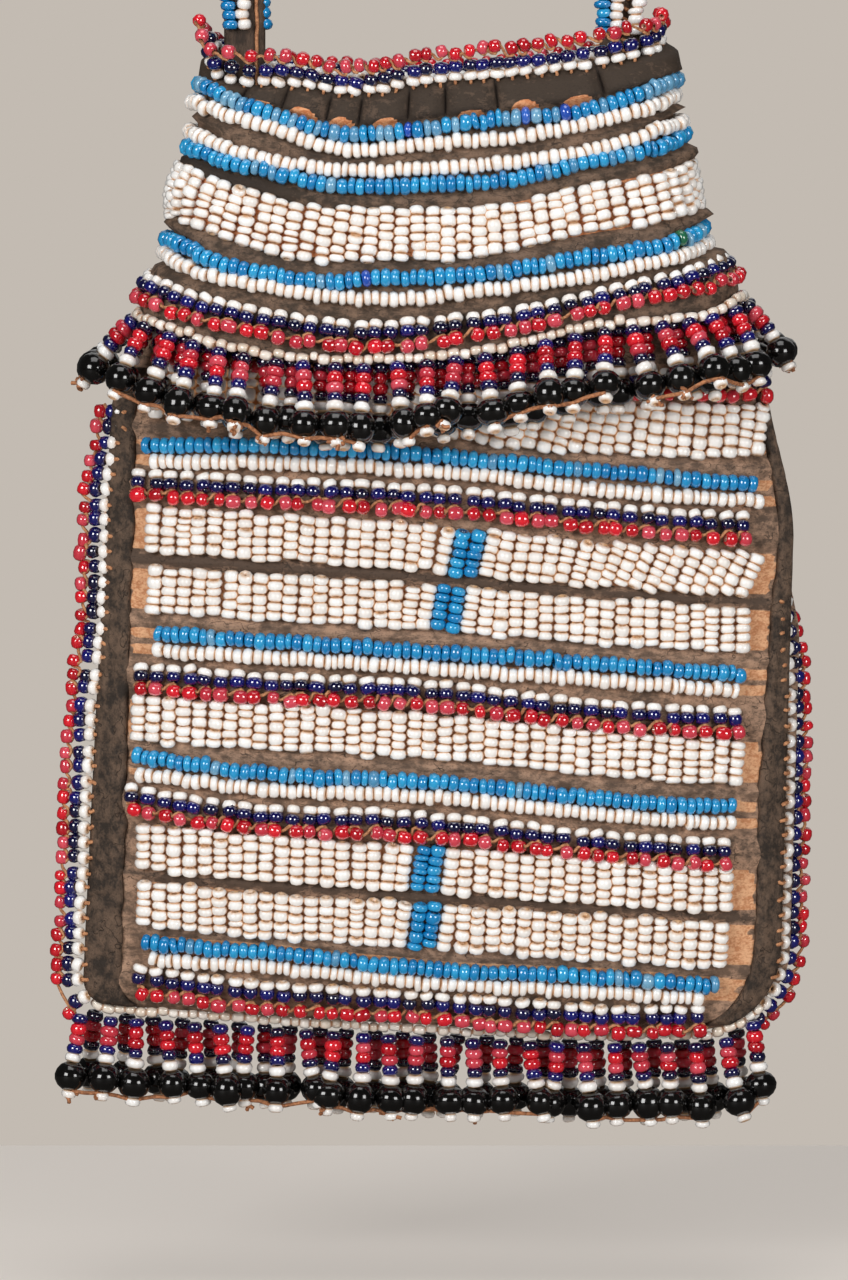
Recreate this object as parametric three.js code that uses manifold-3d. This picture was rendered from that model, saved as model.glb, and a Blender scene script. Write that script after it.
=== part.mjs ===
// A beaded hide tobacco bag: a flat pouch hung on a carrying strap, with a conical cover
// that slides up the strap to open the pouch. Millimetres, +Z up, the front faces -Y.
// The bag is laid out with z = 0 on the pouch's bottom seam, and the finished group is
// lowered so that its origin is the point under the strap's arch where the bag hangs.
import * as THREE from "three";
import { mergeVertices } from "three/addons/utils/BufferGeometryUtils.js";
import Module from "manifold-3d";

const wasm = await Module();
wasm.setup();

// Beads and thread
const BEAD_D = 2.3; // across a seed bead
const BEAD_LENGTH = 1.5; // a seed bead along its hole
const BLACK_BEAD_D = 4.8;
const THREAD_D = 0.9; // the sinew that carries the fringe
const LANE_BEADS = 5; // beads in one upright lane
const LANE_PITCH = 2.35;
const INSET_LANES = 2; // blue lanes set into a white band
const PICOT_PITCH = 2.8;

// Hide and the gap that pieces keep to what they are sewn on
const HIDE = 1.3;
const CLEAR = 0.3;

// Pouch
const POUCH_HALF_WIDTH = 56.3; // at the bottom
const POUCH_TAPER = 0.014; // half width lost for each millimetre of height
const POUCH_SHIFT = -1.6; // the centre line's place at the bottom
const POUCH_LEAN = 0.038; // and its sideways drift for each millimetre up to the shoulder
const LEFT_CORNER_R = 4.5;
const RIGHT_CORNER_R = 18;
const SEAM_LOW_X = 25; // the bottom seam is lowest here
const SEAM_RISE = 4.5; // and rises by this much to the left corner
const BULGE = 7.6; // the cavity's half depth at its fullest
const MOUTH_BULGE = 5.4;
const BULGE_RISE = 38; // height over which the cavity fills out above the bottom seam
const SHOULDER_RISE = 24; // from the start of the shoulder to the mouth
const SHOULDER_IN = 14.8; // half width lost over the shoulder
const SHOULDER_BELOW_BEADS = 10.5; // the shoulder starts this far below the top of the bead work

const LEFT_EDGING_TURN = 10; // degrees of the bottom corner that the side edging goes round
const RIGHT_EDGING_TURN = 45;
const RIGHT_EDGING_FOLD = 58; // degrees that the right edging is turned to the back
const RIGHT_EDGING_FOLD_TOP = 92; // and at its upper end
const FOLD_EASE = 34; // length over which it turns from one to the other

// Bead work on the pouch, from the bottom seam up: what is sewn on, and the bare hide below it
const POUCH_STACK = [
  ["picot", 3.0],
  ["white", 0.3],
  ["blue", 0.2],
  ["lane", 1.5],
  ["lane", 2.1],
  ["picot", 0.3],
  ["white", 1.0],
  ["blue", 0.2],
  ["lane", 2.6],
  ["picot", 0.3],
  ["white", 0.5],
  ["blue", 0.2],
  ["lane", 2.2],
  ["lane", 2.1],
  ["picot", 1.3],
  ["white", 0.9],
  ["blue", 0.2],
  ["lane", 1.1],
  ["picot", 0.4],
];
const ROW_SLOPE = -0.066; // the rows run down to the right
const LEFT_BORDER_TOP = 6.6; // bare hide from the left edge to the rows, at the shoulder
const LEFT_BORDER_GROWTH = 0.015; // and more of it for each millimetre down
const RIGHT_BORDER_TOP = 4.6;
const RIGHT_BORDER_GROWTH = 0.052;
const PICOT_REACH = 1.8; // the picot rows start this much further out on the left
const INSET_PLACES = { 1: -3, 2: -2.2, 4: 1.7, 5: 4.3 }; // number of a lane band to the x of its blue lanes
const BINDING_T = 0.9;
const LEFT_BINDING_TOP = 3.6;
const LEFT_BINDING_GROWTH = 0.02;
const RIGHT_BINDING_TOP = 3.2;
const RIGHT_BINDING_GROWTH = 0.045;

// Cover: a flattened cone, measured along its slant from its apex
const CONE_HALF_ANGLE = 15.5; // degrees
const RIM_SLANT = 137; // apex to rim
const RIM_HALF_DEPTH = 9.5;
const HEM_HALF_DEPTH = 14.5;
const SECTION_POWER = 3; // 2 is an ellipse, more is boxier
const RIM_FLARE = 1.4; // the rim edging leans out by this much over its height
const COVER_SLOPE = 0.035; // its rows run up to the right
const COVER_SEAT = 1.5; // the hem's ends sit this far above the level where the shoulder matches them
const COVER_STACK = [
  ["blue", 5.6],
  ["white", 0.2],
  ["white", 1.5],
  ["blue", 0.2],
  ["lane", 2.9],
  ["blue", 2.2],
  ["white", 0.2],
  ["picot", 1.5],
  ["hem", 0.4],
];

// Fringe
const COVER_TASSELS = 38;
const POUCH_TASSEL_PITCH = 4.6;
const TASSEL_DROP = 9.2; // from the cord to the black bead's centre
const TASSEL_D = 2.0;
const TIP_LENGTH = 1.6; // the small bead under the black one
const FLARE_FRONT = 0.42; // outward lean of the cover's tassels at the front
const FLARE_SIDE = 1.15; // and at the sides
const LAYER_HALF_GAP = 1.9; // the pouch's two layers of tassels

// Strap
const STRAP_HALF_SPREAD = 29.6;
const STRAP_X = -0.8; // the loop's middle, a little left of the rim's
const STRAP_WIDTH = 2.4;
const STRAP_T = 2.4;
const STRAP_TUCK = 11; // length sewn inside the pouch's mouth
const STRAP_RUN = 108; // straight run from the mouth to the arch
const STRAP_BEADS_ABOVE_RIM = 7;

// Colours, roughness and metalness
const FINISHES = {
  hide: [0x4a3a30, 0.85],
  binding: [0x40342c, 0.85],
  white: [0xf1e9dd, 0.45],
  blue: [0x2a86bb, 0.35],
  picot: [0xb8323f, 0.3],
  fringe: [0x2a2420, 0.3],
};

function finish(name) {
  const [color, roughness] = FINISHES[name];
  return new THREE.MeshStandardMaterial({ color, roughness, metalness: 0 });
}

function piece(name, geometry, look) {
  const mesh = new THREE.Mesh(geometry, finish(look));
  mesh.name = name;
  return mesh;
}

// Bead work: heights, and where each piece of a stack starts and ends

const PICOT_HEIGHT = 2 * BEAD_LENGTH + BEAD_D;
const ROW_HEIGHTS = {
  white: BEAD_D,
  blue: BEAD_D,
  hem: BEAD_LENGTH,
  picot: PICOT_HEIGHT,
  lane: LANE_BEADS * BEAD_LENGTH,
};
const ROW_NAMES = {
  white: "white_row",
  blue: "blue_row",
  picot: "picot_row",
  lane: "lane_band",
  hem: "hem_row",
};

function layOut(stack, start) {
  const counts = {};
  let at = start;
  return stack.map(([kind, gap]) => {
    counts[kind] = (counts[kind] ?? 0) + 1;
    const low = at + gap;
    at = low + ROW_HEIGHTS[kind];
    return { kind, number: counts[kind], low, high: at, middle: (low + at) / 2 };
  });
}

// Pouch surface

const pouchRows = layOut(POUCH_STACK, 0);
const BEADS_TOP = pouchRows.at(-1).high;
const SHOULDER_Z = BEADS_TOP - SHOULDER_BELOW_BEADS;
const MOUTH_Z = SHOULDER_Z + SHOULDER_RISE;

const centreX = (z) => POUCH_SHIFT + POUCH_LEAN * Math.min(z, SHOULDER_Z);
const cornerRadius = (side) => (side < 0 ? LEFT_CORNER_R : RIGHT_CORNER_R);

// The pouch is laid out over a level seam, and its lower part is then raised by the seam's own rise.
const SEAM_BEND = 1.3;

function seamRise(x) {
  const share = Math.max(0, SEAM_LOW_X - x) / (SEAM_LOW_X + POUCH_HALF_WIDTH);
  return SEAM_RISE * share ** SEAM_BEND;
}

const raised = (x, level) => level + seamRise(x) * (1 - level / MOUTH_Z);
const levelOf = (x, z) => (z - seamRise(x)) / (1 - seamRise(x) / MOUTH_Z);

// Half width at a height, on the left (-1) or right (+1) of the centre line.
function halfWidth(z, side) {
  const straight = POUCH_HALF_WIDTH - POUCH_TAPER * z;
  const above = Math.max(0, (z - SHOULDER_Z) / SHOULDER_RISE);
  const radius = cornerRadius(side);
  const below = Math.max(0, radius - Math.max(0, z));
  const corner = radius - Math.sqrt(radius ** 2 - below ** 2);
  return straight - SHOULDER_IN * above ** 1.5 - corner;
}

// Half depth of the cavity: full in the middle, closed at the side and bottom seams, open at the mouth.
function bulge(x, height) {
  const z = levelOf(x, height);
  const off = x - centreX(z);
  const across = Math.min(1, Math.abs(off) / halfWidth(z, Math.sign(off)));
  const rise = 1 - Math.max(0, 1 - z / BULGE_RISE) ** 3;
  const above = THREE.MathUtils.smoothstep(z, SHOULDER_Z - SHOULDER_RISE, MOUTH_Z);
  const full = THREE.MathUtils.lerp(BULGE, MOUTH_BULGE, above);
  return full * rise * (1 - across ** 4);
}

const innerFace = (x, z) => CLEAR / 2 + bulge(x, z);
const outerFace = (x, z) => innerFace(x, z) + HIDE;

// Moves every vertex of a geometry to where `place` sends it, and merges the seams of the box or lathe.
function reshape(geometry, place) {
  const points = geometry.getAttribute("position");
  const p = new THREE.Vector3();
  for (let i = 0; i < points.count; i++) {
    p.fromBufferAttribute(points, i);
    const q = place(p.x, p.y, p.z);
    points.setXYZ(i, q[0], q[1], q[2]);
  }
  geometry.deleteAttribute("normal");
  geometry.deleteAttribute("uv");
  return mergeVertices(geometry, 1e-4);
}

// A box of unit size with `along` steps in x, `up` steps in z, reshaped by place(a, b, c), each from 0 to 1.
function unitBox(along, up, place) {
  const box = new THREE.BoxGeometry(1, 1, 1, along, 1, up);
  return reshape(box, (x, y, z) => place(x + 0.5, y + 0.5, z + 0.5));
}

const PANEL_COLUMNS = 11;
const PANEL_ROWS = 10;
const PANEL_EASE = 1.5; // rows of facets lie closer together near the rounded bottom corners

// One hide wall. side is -1 for the front and +1 for the back.
function panel(side) {
  return unitBox(PANEL_COLUMNS, PANEL_ROWS, (a, b, c) => {
    const level = MOUTH_Z * c ** PANEL_EASE;
    const across = 2 * a - 1;
    const x = centreX(level) + across * halfWidth(level, Math.sign(across));
    const z = raised(x, level);
    const depth = innerFace(x, z) + HIDE * (side < 0 ? 1 - b : b);
    return [x, side * depth, z];
  });
}

// A point of the front's outside, t out from the hide.
const onFront = (x, z, t) => [x, -outerFace(x, z) - CLEAR - t, z];

// A width that grows from the shoulder down.
const widening = (top, growth, z) => top + growth * Math.max(0, SHOULDER_Z - z);

function rowEnds(row) {
  const reach = row.kind === "picot" ? PICOT_REACH : 0;
  const z = row.middle;
  const left = centreX(z) - halfWidth(z, -1) + widening(LEFT_BORDER_TOP, LEFT_BORDER_GROWTH, z) - reach;
  const right = centreX(z) + halfWidth(z, 1) - widening(RIGHT_BORDER_TOP, RIGHT_BORDER_GROWTH, z);
  return [left, right];
}

const RIDGE_VALLEY = 0.62; // height of the dip between two ridges, as a share of the ridge
const PLAIN_STEPS = 12;
const RIDGE_LANES = 3; // lanes that share one modelled ridge
const RIDGE_PICOTS = 2.6; // picot stitches that share one modelled ridge

const ridgeSteps = (length, pitch) => 2 * Math.max(2, Math.round(length / pitch / 2));

function stepsFor(kind, length) {
  if (kind === "lane") return ridgeSteps(length, (LANE_PITCH * RIDGE_LANES) / 2);
  if (kind === "picot") return ridgeSteps(length, (PICOT_PITCH * RIDGE_PICOTS) / 2);
  return PLAIN_STEPS;
}

// Height of a ridged strip at a share of its length: a crest on every odd step, a dip on every even one.
function ridge(kind, share, steps) {
  if (kind !== "lane" && kind !== "picot") return 1;
  return Math.round(share * steps) % 2 ? 1 : RIDGE_VALLEY;
}

// A strip of bead work lying on the pouch's front. A notch leaves a thin web for lanes of another colour.
function frontStrip(row, notch) {
  const [left, right] = rowEnds(row);
  const steps = stepsFor(row.kind, right - left);
  return unitBox(steps, 1, (a, b, c) => {
    const x = THREE.MathUtils.lerp(left, right, a);
    const z = THREE.MathUtils.lerp(row.low, row.high, c) + ROW_SLOPE * x;
    const inNotch = notch && Math.abs(x - notch.x) < notch.half;
    const height = inNotch ? THREAD_D : BEAD_D * ridge(row.kind, a, steps);
    return onFront(x, z, (1 - b) * height);
  });
}

// The notch takes in every step of the band within it, so the inset is cut to clear the nearest crest.
function notchFor(row) {
  const x = INSET_PLACES[row.number];
  if (row.kind !== "lane" || x === undefined) return null;
  const [left, right] = rowEnds(row);
  const step = (right - left) / stepsFor(row.kind, right - left);
  return { x, half: (INSET_LANES * LANE_PITCH) / 2 + step, inset: (INSET_LANES * LANE_PITCH) / 2 - CLEAR };
}

function blueInset(row, notch) {
  return unitBox(2, 1, (a, b, c) => {
    const x = notch.x + (2 * a - 1) * notch.inset;
    const z = THREE.MathUtils.lerp(row.low, row.high, c) + ROW_SLOPE * x;
    const t = THREE.MathUtils.lerp(THREAD_D + CLEAR, BEAD_D + CLEAR, 1 - b);
    return onFront(x, z, t);
  });
}

const BINDING_STEPS = 12;

// The strip of hide bound over each side of the front, from the corner to the shoulder.
function binding(side) {
  const low = cornerRadius(side);
  const [top, growth] =
    side < 0 ? [LEFT_BINDING_TOP, LEFT_BINDING_GROWTH] : [RIGHT_BINDING_TOP, RIGHT_BINDING_GROWTH];
  return unitBox(2, BINDING_STEPS, (a, b, c) => {
    const level = THREE.MathUtils.lerp(low, SHOULDER_Z, c);
    const width = widening(top, growth, level);
    const inward = (side < 0 ? a : 1 - a) * width;
    const x = centreX(level) + side * (halfWidth(level, side) - inward);
    return onFront(x, raised(x, level), (1 - b) * BINDING_T);
  });
}

function edgingTurn(side) {
  return THREE.MathUtils.degToRad(side < 0 ? LEFT_EDGING_TURN : RIGHT_EDGING_TURN);
}

function edgingLength(side) {
  const radius = cornerRadius(side);
  return SHOULDER_Z - radius + radius * edgingTurn(side);
}

// Centre of a bottom corner's arc.
function cornerX(side) {
  const radius = cornerRadius(side);
  return centreX(radius) + side * (halfWidth(radius, side) - radius);
}

// Point and outward direction of the pouch's outline, from the shoulder (0) to the end of the edging (1).
function outline(side, share) {
  const radius = cornerRadius(side);
  const straight = SHOULDER_Z - radius;
  const run = share * edgingLength(side);
  if (run < straight) {
    const level = SHOULDER_Z - run;
    const x = centreX(level) + side * halfWidth(level, side);
    return { x, z: raised(x, level), nx: side, nz: 0 };
  }
  const turn = (run - straight) / radius;
  const nx = side * Math.cos(turn);
  const nz = -Math.sin(turn);
  const x = cornerX(side) + radius * nx;
  return { x, z: raised(x, radius + radius * nz), nx, nz };
}

const EDGING_GAP = CLEAR * 2; // the faceted corner of the hide stands a little proud of its arc

// How far an edging is turned to the back, at a run down from the shoulder.
function edgingFold(side, run) {
  if (side < 0) return 0;
  const eased = THREE.MathUtils.smoothstep(run, 0, FOLD_EASE);
  return THREE.MathUtils.degToRad(THREE.MathUtils.lerp(RIGHT_EDGING_FOLD_TOP, RIGHT_EDGING_FOLD, eased));
}

// The beaded picot edging that stands out from one side seam.
function sideEdging(side) {
  const steps = stepsFor("picot", edgingLength(side));
  return unitBox(1, steps, (a, b, c) => {
    const at = outline(side, 1 - c);
    const fold = edgingFold(side, (1 - c) * edgingLength(side));
    const outward = side < 0 ? 1 - a : a;
    const width = outward * PICOT_HEIGHT * ridge("picot", c, steps);
    const out = EDGING_GAP + width * Math.cos(fold);
    const y = (b - 0.5) * BEAD_D + width * Math.sin(fold);
    return [at.x + at.nx * out, y, at.z + at.nz * out];
  });
}

// The hem runs along the bottom between the ends of the two edgings, a bead clear of them.
function hemEnd(side) {
  const radius = cornerRadius(side);
  const turn = edgingTurn(side) + (BEAD_D + 2 * CLEAR) / radius;
  return cornerX(side) + side * radius * Math.cos(turn);
}

const HEM_LEFT = hemEnd(-1);
const HEM_RIGHT = hemEnd(1);

// Height of the pouch's bottom edge, along the seam and round both corners.
function bottomEdge(x) {
  const side = x < 0 ? -1 : 1;
  const radius = cornerRadius(side);
  const past = Math.max(0, side * (x - cornerX(side)));
  return raised(x, radius - Math.sqrt(radius ** 2 - past ** 2));
}

const HEM_STEPS = 22;

function hemBar(low, high, thickness) {
  return unitBox(HEM_STEPS, 1, (a, b, c) => {
    const x = THREE.MathUtils.lerp(HEM_LEFT, HEM_RIGHT, a);
    return [x, (b - 0.5) * thickness, bottomEdge(x) + THREE.MathUtils.lerp(low, high, c)];
  });
}

// Solids from geometries, joined into one

function plainPositions(geometry) {
  return (geometry.index ? geometry.toNonIndexed() : geometry).getAttribute("position");
}

function solid(geometry) {
  const loose = new THREE.BufferGeometry().setAttribute("position", plainPositions(geometry));
  const bare = mergeVertices(loose, 1e-4);
  const vertProperties = bare.getAttribute("position").array;
  const triVerts = new Uint32Array(bare.index.array);
  return new wasm.Manifold(new wasm.Mesh({ numProp: 3, vertProperties, triVerts }));
}

function joined(geometries) {
  const mesh = geometries.map(solid).reduce((whole, next) => whole.add(next)).getMesh();
  const points = new Float32Array(mesh.numVert * 3);
  for (let i = 0; i < mesh.numVert; i++) {
    points.set(mesh.vertProperties.subarray(i * mesh.numProp, i * mesh.numProp + 3), i * 3);
  }
  return new THREE.BufferGeometry()
    .setAttribute("position", new THREE.BufferAttribute(points, 3))
    .setIndex(new THREE.BufferAttribute(mesh.triVerts, 1));
}

// Fringe

const TASSEL_SIDES = 4;
const BEAD_R = BLACK_BEAD_D / 2;

// A string of beads that hangs from `at` along `down`: a slim neck, the black bead and a small tip.
function tassel(at, down) {
  const neck = TASSEL_D / 2;
  const profile = [
    [0, -TASSEL_DROP - BEAD_R - TIP_LENGTH],
    [BEAD_R, -TASSEL_DROP],
    [neck, -TASSEL_DROP + BEAD_R],
    [neck, 0],
    [0, 0],
  ].map(([r, y]) => new THREE.Vector2(r, y));
  const turn = new THREE.Quaternion().setFromUnitVectors(new THREE.Vector3(0, -1, 0), down);
  const place = new THREE.Matrix4().compose(at, turn, new THREE.Vector3(1, 1, 1));
  return new THREE.LatheGeometry(profile, TASSEL_SIDES).applyMatrix4(place);
}

const HEM_ROW_LOW = -2 * CLEAR - BEAD_LENGTH;
const CORD_TOP = HEM_ROW_LOW - CLEAR;
const CORD_HALF = TASSEL_D / 2 + CLEAR; // half the cord's width, a little more than a string of beads
const POUCH_CORD_DEPTH = 2 * (LAYER_HALF_GAP + CORD_HALF);

function pouchFringe() {
  const cord = hemBar(CORD_TOP - THREAD_D, CORD_TOP, POUCH_CORD_DEPTH);
  const count = Math.round((HEM_RIGHT - HEM_LEFT) / POUCH_TASSEL_PITCH);
  const down = new THREE.Vector3(0, 0, -1);
  const strings = [];
  for (let i = 0; i <= count; i++) {
    const layer = i % 2 ? LAYER_HALF_GAP : -LAYER_HALF_GAP;
    const x = THREE.MathUtils.lerp(HEM_LEFT + TASSEL_D, HEM_RIGHT - TASSEL_D, i / count);
    strings.push(tassel(new THREE.Vector3(x, layer, bottomEdge(x) + CORD_TOP - THREAD_D / 2), down));
  }
  return joined([cord, ...strings]);
}

// Cover surface

const CONE_SIN = Math.sin(THREE.MathUtils.degToRad(CONE_HALF_ANGLE));
const coverRows = layOut(COVER_STACK, RIM_SLANT);
const HEM_SLANT = coverRows.at(-1).high + CLEAR;
const HEM_HALF_WIDTH = HEM_SLANT * CONE_SIN;
const MIDDLE_SLANT = (RIM_SLANT + HEM_SLANT) / 2;

function halfDepth(slant) {
  const share = (slant - RIM_SLANT) / (HEM_SLANT - RIM_SLANT);
  return THREE.MathUtils.lerp(RIM_HALF_DEPTH, HEM_HALF_DEPTH, share);
}

const signedPower = (v, power) => Math.sign(v) * Math.abs(v) ** power;

// Height at which the shoulder is as wide as the inside of the cover's hem.
function seatHeight() {
  const inside = HEM_HALF_WIDTH - HIDE;
  let [low, high] = [SHOULDER_Z, MOUTH_Z];
  for (let i = 0; i < 40; i++) {
    const z = (low + high) / 2;
    if (halfWidth(z, 1) > inside) low = z;
    else high = z;
  }
  return low;
}

const HEM_END_DROP = HEM_SLANT * Math.sqrt(1 - CONE_SIN ** 2);
const APEX_Z = seatHeight() + COVER_SEAT + HEM_END_DROP;

// A point of the cover at a turn round it and a slant from its apex, `out` from its outside.
function onCover(turn, slant, out) {
  const [c, s] = [Math.cos(turn), Math.sin(turn)];
  const [a, b] = [slant * CONE_SIN, halfDepth(slant)];
  const x = a * signedPower(c, 2 / SECTION_POWER);
  const y = b * signedPower(s, 2 / SECTION_POWER);
  const nx = signedPower(c, 2 - 2 / SECTION_POWER) / a;
  const ny = signedPower(s, 2 - 2 / SECTION_POWER) / b;
  const size = Math.hypot(nx, ny);
  const z = APEX_Z - Math.sqrt(slant ** 2 - x ** 2) + COVER_SLOPE * x;
  return [x + (nx / size) * out, y + (ny / size) * out, z];
}

// Turns at even distances round the cover, found by walking its middle section.
const WALK_STEPS = 2000;
const walk = [0];
for (let i = 1; i <= WALK_STEPS; i++) {
  const [x0, y0] = onCover(((i - 1) / WALK_STEPS) * 2 * Math.PI, MIDDLE_SLANT, 0);
  const [x1, y1] = onCover((i / WALK_STEPS) * 2 * Math.PI, MIDDLE_SLANT, 0);
  walk.push(walk[i - 1] + Math.hypot(x1 - x0, y1 - y0));
}

function turnAt(share) {
  const wanted = share * walk[WALK_STEPS];
  const next = walk.findIndex((length) => length >= wanted);
  if (next <= 0) return 0;
  const within = (wanted - walk[next - 1]) / (walk[next] - walk[next - 1]);
  return ((next - 1 + within) / WALK_STEPS) * 2 * Math.PI;
}

const LATHE_R = 1000; // any radius well above the offsets, which are read back from it
const RING_STEPS = 26;

// A ring round the cover with a closed section of [out, slant] points, ridged if its kind is.
function ring(section, kind, steps) {
  const loop = [...section, section[0]];
  const closed = loop.map(([out, slant]) => new THREE.Vector2(LATHE_R + out, -slant));
  return reshape(new THREE.LatheGeometry(closed, steps), (x, y, z) => {
    const share = (Math.atan2(x, z) / (2 * Math.PI) + 1) % 1;
    const out = Math.hypot(x, z) - LATHE_R;
    const height = out > CLEAR + THREAD_D ? ridge(kind, share, steps) : 1;
    return onCover(turnAt(Math.round(share * steps) / steps), -y, out * height);
  });
}

const coneWall = () =>
  ring(
    [
      [-HIDE, HEM_SLANT],
      [0, HEM_SLANT],
      [0, (2 * HEM_SLANT + RIM_SLANT) / 3],
      [0, (HEM_SLANT + 2 * RIM_SLANT) / 3],
      [0, RIM_SLANT],
      [-HIDE, RIM_SLANT],
      [-HIDE, MIDDLE_SLANT],
    ],
    "hide",
    RING_STEPS,
  );

function coverStrip(row) {
  const around = walk[WALK_STEPS];
  const steps = row.kind === "lane" || row.kind === "picot" ? stepsFor(row.kind, around) : RING_STEPS;
  const outside = CLEAR + BEAD_D;
  const section = [
    [CLEAR, row.high],
    [outside, row.high],
    [outside, row.low],
    [CLEAR, row.low],
  ];
  return ring(section, row.kind, steps);
}

// The picot edging that stands up from the rim.
function rimEdging() {
  const middle = -HIDE / 2;
  const low = RIM_SLANT - CLEAR;
  const section = [
    [middle - BEAD_D / 2, low],
    [middle + BEAD_D / 2, low],
    [middle + BEAD_D / 2 + RIM_FLARE, low - PICOT_HEIGHT],
    [middle - BEAD_D / 2 + RIM_FLARE, low - PICOT_HEIGHT],
  ];
  return ring(section, "rim", stepsFor("picot", walk[WALK_STEPS]));
}

const CORD_SLANT = HEM_SLANT + CLEAR;
const COVER_CORD_IN = -THREAD_D; // inside the cone's outer face, clear of the pouch's shoulder
const COVER_CORD_OUT = COVER_CORD_IN + 2 * CORD_HALF;

function coverFringe() {
  const section = [
    [COVER_CORD_IN, CORD_SLANT + THREAD_D],
    [COVER_CORD_OUT, CORD_SLANT + THREAD_D],
    [COVER_CORD_OUT, CORD_SLANT],
    [COVER_CORD_IN, CORD_SLANT],
  ];
  const cord = ring(section, "cord", RING_STEPS);
  const strings = [];
  for (let i = 0; i < COVER_TASSELS; i++) {
    const turn = turnAt((i + 0.5) / COVER_TASSELS);
    const middle = COVER_CORD_IN + CORD_HALF;
    const at = new THREE.Vector3(...onCover(turn, CORD_SLANT + THREAD_D / 2, middle));
    const away = new THREE.Vector3(...onCover(turn, CORD_SLANT + THREAD_D / 2, middle + 1)).sub(at);
    const sideways = Math.abs(at.x / HEM_HALF_WIDTH) ** 4;
    const lean = THREE.MathUtils.lerp(FLARE_FRONT, FLARE_SIDE, sideways);
    const down = away.multiplyScalar(lean).add(new THREE.Vector3(0, 0, -1)).normalize();
    strings.push(tassel(at, down));
  }
  return joined([cord, ...strings]);
}

// Strap: two straight runs from inside the pouch's mouth, joined by an arch

const RIM_Z = APEX_Z - RIM_SLANT;
const STRAP_LOW = MOUTH_Z - STRAP_TUCK;
const ARCH_Z = MOUTH_Z + STRAP_RUN;
const STRAP_STEPS = 24;

// The strap's back lies on the inside of the pouch's back wall where it is sewn in.
const seatX = STRAP_HALF_SPREAD + Math.abs(STRAP_X) + STRAP_WIDTH / 2;
const STRAP_Y = Math.min(
  innerFace(seatX, STRAP_LOW),
  innerFace(-seatX, STRAP_LOW),
  innerFace(seatX, MOUTH_Z),
  innerFace(-seatX, MOUTH_Z),
) - CLEAR - STRAP_T / 2;

// Point and outward direction at a run along the strap, which starts on the left at height `low`.
function strapAt(run, low) {
  const straight = ARCH_Z - low;
  const arch = Math.PI * STRAP_HALF_SPREAD;
  if (run <= straight) return { x: -STRAP_HALF_SPREAD, z: low + run, nx: -1, nz: 0 };
  if (run >= straight + arch) {
    return { x: STRAP_HALF_SPREAD, z: ARCH_Z - (run - straight - arch), nx: 1, nz: 0 };
  }
  const turn = (run - straight) / STRAP_HALF_SPREAD;
  const [nx, nz] = [-Math.cos(turn), Math.sin(turn)];
  return { x: STRAP_HALF_SPREAD * nx, z: ARCH_Z + STRAP_HALF_SPREAD * nz, nx, nz };
}

// Half of the steps go to the arch, and the rest to the two straight runs.
function strapRun(share, low) {
  const straight = ARCH_Z - low;
  const arch = Math.PI * STRAP_HALF_SPREAD;
  if (share <= 0.25) return (share / 0.25) * straight;
  if (share >= 0.75) return straight + arch + ((share - 0.75) / 0.25) * straight;
  return straight + ((share - 0.25) / 0.5) * arch;
}

// A strip along the strap that starts at height `low`, between two distances outward and two in y.
function strapStrip(low, [inner, outer], [front, back]) {
  return unitBox(1, STRAP_STEPS, (a, b, c) => {
    const at = strapAt(strapRun(c, low), low);
    const out = THREE.MathUtils.lerp(outer, inner, a);
    const y = STRAP_Y + THREE.MathUtils.lerp(front, back, b);
    return [STRAP_X + at.x + at.nx * out, y, at.z + at.nz * out];
  });
}

const STRAP_BEADS_LOW = RIM_Z + PICOT_HEIGHT + STRAP_BEADS_ABOVE_RIM;
const HALF = STRAP_WIDTH / 2;
const EDGE = [-BEAD_D / 2, BEAD_D / 2];
const SPACE = [-STRAP_T / 2, STRAP_T / 2];

// Assembly

const pouch = new THREE.Group();
pouch.add(piece("pouch_front", panel(-1), "hide"));
pouch.add(piece("pouch_back", panel(1), "hide"));
pouch.add(piece("left_binding", binding(-1), "binding"));
pouch.add(piece("right_binding", binding(1), "binding"));
for (const row of pouchRows) {
  const notch = notchFor(row);
  const look = row.kind === "lane" ? "white" : row.kind;
  pouch.add(piece(`pouch_${ROW_NAMES[row.kind]}_${row.number}`, frontStrip(row, notch), look));
  if (notch) pouch.add(piece(`blue_inset_${row.number}`, blueInset(row, notch), "blue"));
}
pouch.add(piece("left_edging", sideEdging(-1), "picot"));
pouch.add(piece("right_edging", sideEdging(1), "picot"));
pouch.add(piece("pouch_hem_row", hemBar(HEM_ROW_LOW, -2 * CLEAR, BEAD_D), "white"));
pouch.add(piece("pouch_fringe", pouchFringe(), "fringe"));
pouch.add(piece("strap", strapStrip(STRAP_LOW, [-HALF, HALF], SPACE), "hide"));
const outside = [HALF + CLEAR, HALF + CLEAR + BEAD_D];
const inside = [-HALF - CLEAR - BEAD_D, -HALF - CLEAR];
const facing = [-STRAP_T / 2 - CLEAR - BEAD_D, -STRAP_T / 2 - CLEAR];
pouch.add(piece("strap_outer_beads", strapStrip(STRAP_BEADS_LOW, outside, EDGE), "blue"));
pouch.add(piece("strap_inner_beads", strapStrip(STRAP_BEADS_LOW, inside, EDGE), "blue"));
pouch.add(piece("strap_front_beads", strapStrip(STRAP_BEADS_LOW, [-HALF, HALF], facing), "white"));

const cover = new THREE.Group();
cover.add(piece("cover_cone", coneWall(), "hide"));
cover.add(piece("rim_edging", rimEdging(), "picot"));
for (const row of coverRows) {
  const look = row.kind === "lane" || row.kind === "hem" ? "white" : row.kind;
  cover.add(piece(`cover_${ROW_NAMES[row.kind]}_${row.number}`, coverStrip(row), look));
}
cover.add(piece("cover_fringe", coverFringe(), "fringe"));

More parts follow.
